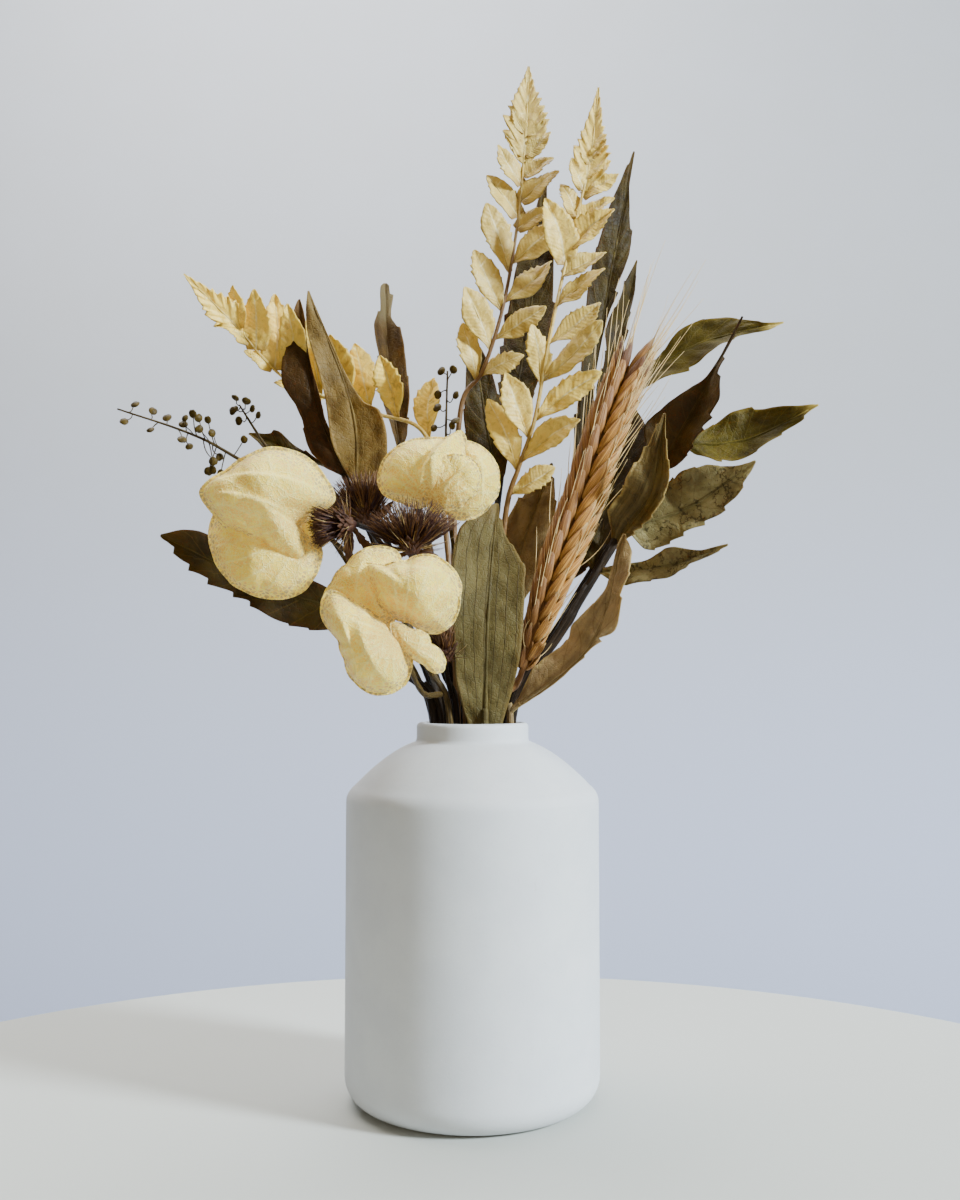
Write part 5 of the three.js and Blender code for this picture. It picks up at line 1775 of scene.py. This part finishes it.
LEAVES = (
    (Leaf("leaf_left_dark", ((-42, 13, 199), (-52, 7, 223), (-58, 10, 258)),
          ((0, 0.8), (0.1, 5), (0.3, 7), (0.5, 6.5), (0.63, 8.5), (0.74, 8), (0.83, 6), (0.91, 3.5),
           (1, 0.3)),
          ((0, 0.8), (0.2, 2.5), (0.46, 3), (0.65, 2), (0.87, 2), (1, 0.3)),
          (-0.5, -1, 0.1), "stem_left", teeth=(BLUNT, SMOOTH), fold=0.35, slot="dark_leaf"), Skin.DARK),
    (Leaf("leaf_left_tall", ((-38, 12, 192), (-39, 0, 219), (-53, -3, 257)),
          ((0, 0.6), (0.06, 1), (0.2, 5), (0.39, 8.5), (0.62, 7.3), (0.81, 5.9), (0.93, 3), (1, 0.3)),
          ((0, 1), (0.09, 6), (0.24, 10), (0.33, 10), (0.47, 8.4), (0.52, 4), (0.65, 1.5), (0.8, 0.6),
           (1, 0.3)),
          (0.15, -1, 0.1), "stem_left", teeth=(SMOOTH, SMOOTH), wave=1.6, pairs=5, slot="taupe_leaf"),
          Skin.TAUPE),
    (Leaf("leaf_back_left", ((-26, 36, 212), (-30, 38, 242), (-32, 48, 275)),
          ((0, 0.8), (0.3, 4), (0.57, 5), (0.72, 5.5), (0.82, 3.4), (0.9, 3.2), (0.96, 2.6), (1, 0.5)),
          ((0, 1), (0.1, 4), (0.46, 6.7), (0.71, 4.5), (0.8, 2.6), (0.9, 3.0), (0.96, 2.4), (1, 0.5)),
          (0.3, -1, 0), "stem_left_back", (-0.5, -1, 0), teeth=(BLUNT, SPARSE), fold=0.3,
          slot="dark_leaf"), Skin.GREY),
    (Leaf("leaf_low_left", ((-38, -4, 153), (-66, -8, 161), (-96, -18, 176)),
          ((0, 1), (0.05, 6), (0.2, 9), (0.34, 9.5), (0.56, 7), (0.71, 7), (0.85, 5.3), (0.92, 3), (1, 0.3)),
          ((0, 1), (0.2, 6), (0.5, 8), (0.85, 6.8), (0.92, 5), (1, 0.3)),
          (0.1, -1, -0.1), "stem_left_low", teeth=(Teeth(8, 1.8), SMOOTH), slot="olive_leaf"), Skin.OLIVE),
    (Leaf("leaf_small_left", ((-43, 13, 200), (-61, 26, 209), (-77, 26, 216)),
          *[((0, 0.4), (0.3, 1.2), (0.5, 3), (0.7, 4.2), (0.9, 2), (1, 0.3))] * 2,
          (0, -1, 0.4), "stem_left", teeth=(SMOOTH, BLUNT), fold=0.3, slot="dark_leaf"), Skin.OLIVE),
    (Leaf("leaf_back_tall", ((36, 40, 202), (48, 46, 268), (60, 58, 328)),
          ((0, 1), (0.2, 5), (0.5, 8), (0.75, 6.5), (0.9, 3), (1, 0.3)),
          ((0, 0.8), (0.3, 1.5), (0.44, 2), (0.54, 3.8), (0.67, 6), (0.73, 5.3), (0.8, 3), (0.89, 0.6),
           (1, 0.3)),
          (0.2, -1, 0.1), "stem_right_up", (0.3, -1, 0), teeth=(SPARSE, SPARSE), pairs=12, rows=170,
          slot="olive_leaf"), Skin.OLIVE),
    (Leaf("leaf_back_dark", ((46, 49, 232), (54, 53, 259), (61, 59, 287)),
          ((0, 1), (0.25, 5), (0.5, 7), (0.8, 4), (1, 0.3)),
          ((0, 1), (0.3, 3), (0.65, 2.5), (0.86, 1), (1, 0.3)),
          (0.5, -1, 0), "stem_right_up", fold=0.25, slot="dark_leaf"), Skin.OLIVE),
    (Leaf("leaf_behind_fern", ((12, 39, 212), (20, 50, 261), (27, 60, 318)),
          *[((0, 0.8), (0.2, 6), (0.45, 9.5), (0.7, 7.5), (0.9, 3), (1, 0.3))] * 2,
          (-0.2, -1, 0.1), "stem_back", teeth=(EVEN, EVEN), pairs=11, rows=160, slot="dark_leaf"),
          Skin.OLIVE),
    (Leaf("leaf_green_behind", ((8, 34, 200), (5, 28, 217), (0, 30, 251)),
          *[((0, 0.8), (0.2, 5), (0.5, 8), (0.8, 5), (1, 0.3))] * 2,
          (0.1, -1, 0), "stem_back", slot="olive_leaf"), Skin.OLIVE),
    (Leaf("leaf_up_right", ((43, 46, 227), (77, 44, 250), (109, 34, 257)),
          ((0, 0.8), (0.2, 2), (0.37, 3.7), (0.51, 7), (0.62, 8), (0.7, 7.7), (0.8, 4.8), (0.92, 1.2),
           (1, 0.3)),
          ((0, 1), (0.28, 7), (0.48, 9.3), (0.7, 6), (0.79, 2.5), (0.91, 2), (1, 0.3)),
          (-0.1, -1, 0.5), "stem_right_up", teeth=(Teeth(6, 0.7), Teeth(4, 1.5)), pairs=9,
          slot="olive_leaf"), Skin.GREEN),
    (Leaf("leaf_spike", ((62, 16, 200), (73, 10, 221), (88, 2, 250)),
          ((0, 1.5), (0.15, 8), (0.29, 11.5), (0.43, 9), (0.59, 3.5), (0.69, 1), (0.82, 0.4), (1, 0.3)),
          ((0, 1), (0.12, 5.7), (0.3, 10), (0.6, 10.5), (0.72, 5), (0.85, 1.5), (1, 0.3)),
          (-0.4, -1, 0.2), "stem_right", teeth=(SMOOTH, Teeth(9, 2.2, 0.2)), fold=0.45), Skin.MAUVE),
    (Leaf("leaf_right", ((72, 20, 211), (93, 22, 213), (115, 12, 223)),
          ((0, 1), (0.2, 6), (0.41, 9.7), (0.57, 10.5), (0.73, 7.7), (0.86, 3.7), (1, 0.3)),
          ((0, 1), (0.24, 8.5), (0.55, 6.7), (0.73, 4), (0.85, 3), (0.95, 1), (1, 0.3)),
          (-0.1, -1, 0.35), "stem_right", teeth=(Teeth(3, 1.2), Teeth(4.5, 1.8)), slot="olive_leaf"),
          Skin.GREEN),
    (Leaf("leaf_mottled", ((50, 11, 182), (71, 6, 188), (90, -6, 201)),
          ((0, 1.5), (0.2, 8), (0.52, 11.8), (0.74, 9), (0.8, 6), (0.93, 1.5), (1, 0.3)),
          ((0, 1.5), (0.1, 9), (0.2, 10), (0.47, 8), (0.65, 7.4), (0.78, 6.7), (0.88, 4), (1, 0.3)),
          (0.1, -1, 0.15), "stem_right", teeth=(EVEN, EVEN), wave=1.8, slot="taupe_leaf"), Skin.MOTTLED),
    (Leaf("leaf_grey_low", ((41, 8, 167), (62, -4, 168), (78, -20, 173)),
          ((0, 1), (0.27, 2.2), (0.43, 3.7), (0.58, 4.5), (0.82, 1), (1, 0.3)),
          ((0, 1), (0.24, 7), (0.44, 5.7), (0.7, 4.6), (0.85, 2.5), (1, 0.3)),
          (-0.2, -1, 0.3), "stem_right", teeth=(SMOOTH, SPARSE), fold=0.25, slot="taupe_leaf"), Skin.MOTTLED),
    (Leaf("leaf_brown_inner", ((41, 8, 167), (46, 17, 192), (54, 22, 225)),
          ((0, 2), (0.2, 8), (0.5, 9), (0.8, 6), (0.93, 3), (1, 0.3)),
          ((0, 0.8), (0.25, 5), (0.5, 7), (0.66, 9.5), (0.76, 10.3), (0.84, 9.4), (0.92, 6), (1, 0.6)),
          (-0.3, -1, 0.1), "stem_right", (-0.6, 0.6, 0.6), teeth=(EVEN, EVEN), fold=0.3), Skin.OLIVE),
    (Leaf("leaf_brown_outer", ((47, 9, 177), (57, -2, 192), (61, -8, 216)),
          ((0, 2), (0.2, 8), (0.5, 9), (0.8, 5), (0.93, 2), (1, 0.3)),
          ((0, 1.5), (0.2, 4.5), (0.4, 6), (0.6, 5.4), (0.75, 3.6), (0.9, 1.4), (1, 0.3)),
          (-0.2, -1, 0.2), "stem_right", teeth=(EVEN, EVEN), fold=0.3), Skin.EDGED),
    (Leaf("leaf_dark_middle", ((25, 26, 162), (40, 25, 186), (49, 32, 215)),
          ((0, 2), (0.2, 8), (0.5, 10), (0.8, 6), (1, 0.3)),
          ((0, 2), (0.2, 7), (0.5, 9.5), (0.8, 6), (1, 0.3)),
          (0.1, -1, 0), "stem_right_up", (0.2, -1, 0), teeth=(EVEN, EVEN), slot="dark_leaf"), Skin.OLIVE),
    (Leaf("leaf_front", ((4, -9.6, 116.5), (5, -13, 153), (8, -3, 188)),
          ((0, 5), (0.07, 6.8), (0.22, 9.6), (0.44, 11.2), (0.74, 12.5), (0.84, 11.5), (0.94, 6), (1, 0.4)),
          ((0, 5), (0.07, 6.4), (0.17, 8.4), (0.34, 10.5), (0.48, 11), (0.67, 11), (0.8, 6.4), (0.9, 2.7),
           (1, 0.3)),
          (0.05, -1, 0), stalk=((4, -10.5, 119),), teeth=(SMOOTH, Teeth(9, 1.8, 0.6)), wave=1.0, curl=0.18,
          slot="taupe_leaf"), Skin.VEINED),
    (Leaf("leaf_curved", ((12, -3.2, 121.5), (37, -12, 143), (47, -14, 177)),
          ((0, 0.8), (0.04, 2.3), (0.33, 9), (0.48, 9.7), (0.64, 5.3), (0.79, 2), (0.95, 1), (1, 0.3)),
          ((0, 0.8), (0.26, 1.2), (0.52, 2.5), (0.6, 5.7), (0.71, 6), (0.83, 6.6), (0.92, 4.5), (1, 0.4)),
          (-0.6, -1, 0.5), stalk=((12, -3.2, 119),), teeth=(Teeth(5, 0.8), SHARP), wave=2.0), Skin.RIMMED),
    (Leaf("leaf_khaki", ((6, 16, 142), (16, 18, 175), (27, 22, 205)),
          *[((0, 0.8), (0.2, 6), (0.55, 9), (0.8, 6), (1, 0.3))] * 2,
          (0.1, -1, 0), stalk=((6, 6, 119), (6, 14, 138)), teeth=(EVEN, EVEN)), Skin.KHAKI),
)

FRONDS = (
    Frond("frond_tall",
          ((-2, 4, 119), (-6, 6, 170), (-4, 5, 219), (3, 5, 232), (9, 5, 250), (13, 7, 270), (16, 10, 293),
           (18, 14, 319), (19, 18, 341)),
          ((0.366, 16, 33), (0.455, 20, 42), (0.536, 21, 36), (0.62, 20, 39), (0.686, 15, 49),
           (0.74, 16, 49), (0.786, 13, 48), (0.82, 12, 44), (0.855, 10, 38)),
          ((0.345, 20, 55), (0.43, 22, 42), (0.518, 22, 39), (0.602, 24, 29), (0.71, 18, 42),
           (0.77, 15, 40), (0.82, 12, 36), (0.86, 9, 34)),
          0.855, 17, (0.05, -1, 0.05)),
    Frond("frond_middle",
          ((4, 2, 119), (8, 4, 157), (11, 1, 187), (15, -2, 200), (20, -4, 215), (24, -5, 237),
           (29, -3, 261), (34, 0, 282), (39, 4, 304), (42, 8, 329)),
          ((0.25, 17, 43), (0.345, 24, 37), (0.442, 26, 42), (0.508, 27, 37), (0.566, 21, 41),
           (0.624, 19, 47), (0.672, 16, 47), (0.72, 19, 39), (0.768, 15, 45), (0.818, 14, 46),
           (0.852, 10, 40), (0.885, 8, 34)),
          ((0.32, 25, 42), (0.404, 22, 38), (0.499, 20, 18), (0.69, 23, 28), (0.78, 13, 36),
           (0.83, 11, 34), (0.875, 8, 32)),
          0.875, 14, (-0.1, -1, 0.1), 0.45, 215.0),
    Frond("frond_left",
          ((-5, 7.5, 119), (-8, 15, 171), (-15, 18, 212), (-32, 18, 221), (-48, 17, 226), (-64, 14, 233),
           (-79, 8, 249), (-93, -4, 262)),
          ((0.286, 22, 29), (0.376, 22, 63), (0.45, 23, 58), (0.52, 24, 60), (0.6, 25, 60), (0.67, 27, 58),
           (0.735, 25, 46), (0.79, 20, 38), (0.845, 14, 36)),
          ((0.58, 8, 16), (0.66, 9, 14), (0.74, 11, 14), (0.81, 10, 16)),
          0.885, 12, (0.2, -1, -0.2), 0.85, 200.0),
)

LANTERNS = (
    Lantern("lantern_left", (-47, -35, 176), (-80, -30, 187), (
        Membrane((-59.5, -38, 182),
                 ((-20.6, 4.4), (-12.4, 10.6), (-5.7, 15.4), (1.1, 17.8), (10.1, 15.4), (16.6, 9.8),
                  (20, 1.8), (14, -1.6), (8.6, -6), (10.5, -9), (15.5, -12.5), (13.5, -18), (5.7, -17.3),
                  (-0.9, -12), (-7.8, -8), (-16.4, -1.6)),
                 13.5, 13, (0.05, -0.12), 0.7,
                 ((-17, 6, 18, 3, -2.2), (-18, 2, 9, -4, -1.6), (-17, -1, 9, -17, 1.6))),
        Membrane((-62, -35, 168.8),
                 ((-16.4, 8), (-14.4, 14), (-4.3, 12.9), (10, 8.6), (18.1, 1.4), (17, -6.3), (14.1, -10.9),
                  (8.9, -13.4), (2, -13.4), (-4.9, -11.2), (-10.5, -6.9), (-14.8, 0)),
                 8, 12, (-0.1, 0.25), 0.5, ((-13, 2, 13, -4, -1.0),)))),
    Lantern("lantern_right", (-11, -26, 184), (-4, -30, 207), (
        Membrane((-14.2, -29, 192.5),
                 ((-14.2, -2.4), (-12.4, 5), (-7, 9.6), (0.9, 11.6), (7.4, 11.4), (10.6, 15.6), (13, 9.7),
                  (16.6, 2.4), (17, -4.2), (11.2, -9.1), (1.5, -8.8), (-7.6, -7.6), (-12.4, -6)),
                 11, 12, (0.1, -0.1), 0.6, ((10, 13, -2, -6, 2.2), (4, 9, 3, -8, 1.6), (13, 8, 8, -6, 1.6))),
        Membrane((1.2, -26, 191.3),
                 ((-3, 12.7), (1.8, 10.9), (5.7, 6.7), (7.2, 0.6), (5.4, -5.6), (1.8, -9.7), (-3.6, -11.8),
                  (-9.1, -10.3), (-10.9, -5.4), (-9.7, 3.6), (-6.7, 9.7)),
                 8, 12, (0.2, 0.0), 0.7, ((0, 10, 1, -9, -1.4),)),
        Membrane((-4.9, -37, 188.9),
                 ((-9.1, 4.8), (-1.8, 8.5), (6.7, 6.1), (7.9, 0.6), (4.2, -4.2), (-1.2, -7.3),
                  (-9.7, -4.8), (-8.5, 0.6)),
                 3.5, 1.5, (0.1, -0.3), 0.7, ((6, 5, -6, -4, 1.2),)))),
    Lantern("lantern_low", (-20.5, -43, 143), (-27, -48, 166), (
        Membrane((-27.9, -56, 140.1),
                 ((-14, 14.6), (-11.8, 17.4), (-5.6, 14), (1.1, 9.5), (6.7, 5.6), (10.7, 1.1),
                  (11.8, -5.1), (10.1, -9.5), (5.6, -12.3), (0, -12.3), (-4.5, -9), (-7.3, -2.8),
                  (-9, 2.8), (-14, 9)),
                 12.5, 14, (0.0, 0.1), 0.7, ((-11, 14, -3, -8, -1.6), (-3, 10, 6, -10, 1.4))),
        Membrane((-16.7, -51, 156.3),
                 ((-13.5, 9), (-8.4, 7.4), (-1.7, 9), (6.2, 10.6), (11.2, 7.3), (14, 1.1), (13.2, -5.8),
                  (9.5, -10.7), (4.5, -11.6), (-1.1, -8.4), (-6.2, -6.7), (-11.2, 0.6)),
                 12, 12, (-0.05, -0.1), 1.3, ((-11, 5, 12, 4, -1.6), (-8, 3, 6, -9, 1.4))),
        Membrane((-31.8, -46, 158.3),
                 ((-3.9, 6.5), (-0.6, 10.1), (5.1, 11.8), (10.7, 10.4), (11.8, 5.6), (10.7, -1.4),
                  (9.5, -10.4), (0.6, -9.8), (-7.9, -7), (-10.7, -2.5), (-8.4, 1.2)),
                 6, 9, (0.0, 0.0), 0.8, ((2, 9, 0, -8, 1.2),)),
        Membrane((-14.4, -59, 140.6),
                 ((-7.9, 7.3), (-2.2, 5.1), (3.4, 1.1), (7.3, -3.4), (7, -6.7), (4.5, -7.3), (1.1, -4.5),
                  (-2.2, -2.2), (-5.6, 0.6)),
                 2.5, 1.5, (0.25, 0.1), 0.5, ((-6, 5, 4, -4, 0.8),)))),
)

THISTLES = (
    ThistleHead("thistle_left", (-34.5, -38.5, 177), (-1, -0.45, -0.12), 13.0, 0.52, 3,
                bracts=((7, 6, -8), (-1, 4, -11))),
    ThistleHead("thistle_middle", (-17.7, -37.5, 168.2), (0, -0.3, 1), 16.5, 1.0, 5, 0.35, 110,
                bracts=((-11, 4, -2), (10, 5, -4))),
    ThistleHead("thistle_upper", (-33, -9, 180), (-0.4, -0.1, 1), 17.0, 0.95, 7, 0.6, 130,
                bracts=((9, -6, 6), (8, -7, -6))),
    ThistleHead("thistle_low", (-8.5, -11, 137), (-0.15, -0.4, 1), 12.0, 0.38, 9, 0.7),
)

SPRAYS = (
    PodSpray("spray_left",
             (((-13.2, 1.5, 119), (-33, 2, 157), (-56, 4, 190), (-79, 6, 205), (-93, 4, 212), (-115, 0, 219)),
              ((-56, 4, 190), (-70, 8, 211), (-77, 8, 222))),
             ((0, 0.98, -2, 3), (0, 0.97, 2, -3), (0, 0.94, -1, 3), (0, 0.92, 2, -3), (0, 0.9, 1, 3),
              (0, 0.88, -2, -4), (0, 0.86, 1, 5), (0, 0.856, -1, -5), (0, 0.84, 4, 4), (0, 0.83, 1, 7),
              (0, 0.81, -3, -7), (0, 0.8, 2, 7), (0, 0.79, -1, -9), (0, 0.785, 3, 4), (0, 0.775, -2, -4),
              (0, 0.765, 2, 8), (0, 0.76, 3, -8), (0, 0.74, 3, 5), (0, 0.73, 2, -7), (0, 0.71, -4, 5),
              (0, 0.69, 4, -5), (1, 0.99, 1, 2), (1, 0.97, 3, -1), (1, 0.94, -2, 2), (1, 0.9, 3, 1),
              (1, 0.86, -3, 1), (1, 0.8, 3, -1), (1, 0.7, -3, 2))),
    PodSpray("spray_middle",
             (((-1.5, -4, 119), (-4, -2, 160), (-7, -2.5, 180), (-8.5, -2, 205), (-8, -6, 230)),),
             ((0, 0.99, 2, 2), (0, 0.98, -2, 3), (0, 0.96, 3, -1), (0, 0.94, -3, 1), (0, 0.92, 3, 1),
              (0, 0.9, -3, -1), (0, 0.89, 4, -1), (0, 0.87, -2, 2), (0, 0.86, -4, 1), (0, 0.84, 2, 1),
              (0, 0.82, 3, 2), (0, 0.8, -3, 1), (0, 0.78, -2, -2), (0, 0.77, 3, -1))),
)


def behind(place: Point, direction: Array, reach: float) -> Point:
    """Point that lies a reach behind a place, against a direction."""
    return tuple(np.array(place, float) - reach * unit(np.asarray(direction, float)))


def lantern_stem() -> BranchedStem:
    """Stem under the three lanterns."""
    left, right, low = (behind(husk.hub, np.subtract(husk.apex, husk.hub), 3.4) for husk in LANTERNS)
    return BranchedStem(
        "lantern_stem",
        (((-7, -9, 119), (-14, -12, 136), (-27, -17, 160), left),
         ((-10, -10.4, 127), (-15, -26, 128), low),
         ((-12.6, -11.5, 133), (-15, -20, 152), right)),
        ((1.3, 0.7), (1.0, 0.7), (1.0, 0.7)), "twig")


def thistle_stem() -> BranchedStem:
    """Stem under the four thistle heads."""
    left, middle, upper, low = (behind(head.base, np.array(head.direction), 0.9) for head in THISTLES)
    return BranchedStem(
        "thistle_stem",
        (((-5, -4, 119), (-9, -6, 134), (-17, -7, 156), (-27, -6, 172), upper),
         ((-22, -6.6, 164.5), (-27, -20, 175), left),
         ((-18, -7, 158), (-18, -20, 166), middle),
         ((-6.6, -4.9, 126), (-7.5, -8.5, 131), low)),
        ((1.2, 0.8), (0.9, 0.8), (0.9, 0.8), (0.8, 0.8)), "stem")


def main() -> None:
    """Builds the studio and every piece of the bouquet in order."""
    logging.basicConfig(level=logging.INFO, format="%(message)s")
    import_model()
    Studio().build()
    Vase().build()
    bark = BarkFinish("stem_bark", rgb(46, 33, 19), rgb(24, 16, 9)).build()
    twig = BarkFinish("twig_bark", rgb(88, 70, 34), rgb(48, 36, 17), rgb(80, 64, 24)).build()
    stems = {stem.name: stem for stem in STEMS}
    for stem in STEMS:
        stem.build(bark)
    skins = {skin: skin.value.build() for skin in Skin}
    for leaf, skin in LEAVES:
        leaf.build(stems, skins[skin])
    straw = StrawFinish("bleached_straw").build()
    for frond in FRONDS:
        frond.build(straw)
    WheatEar().build()
    paper = PaperFinish().build()
    for lantern in LANTERNS:
        lantern.build(paper)
    lantern_stem().build(twig)
    bristle = BristleFinish().build()
    for head in THISTLES:
        head.build(bristle)
    thistle_stem().build(bark)
    for spray in SPRAYS:
        spray.build(twig)


if __name__ == "__main__":
    main()
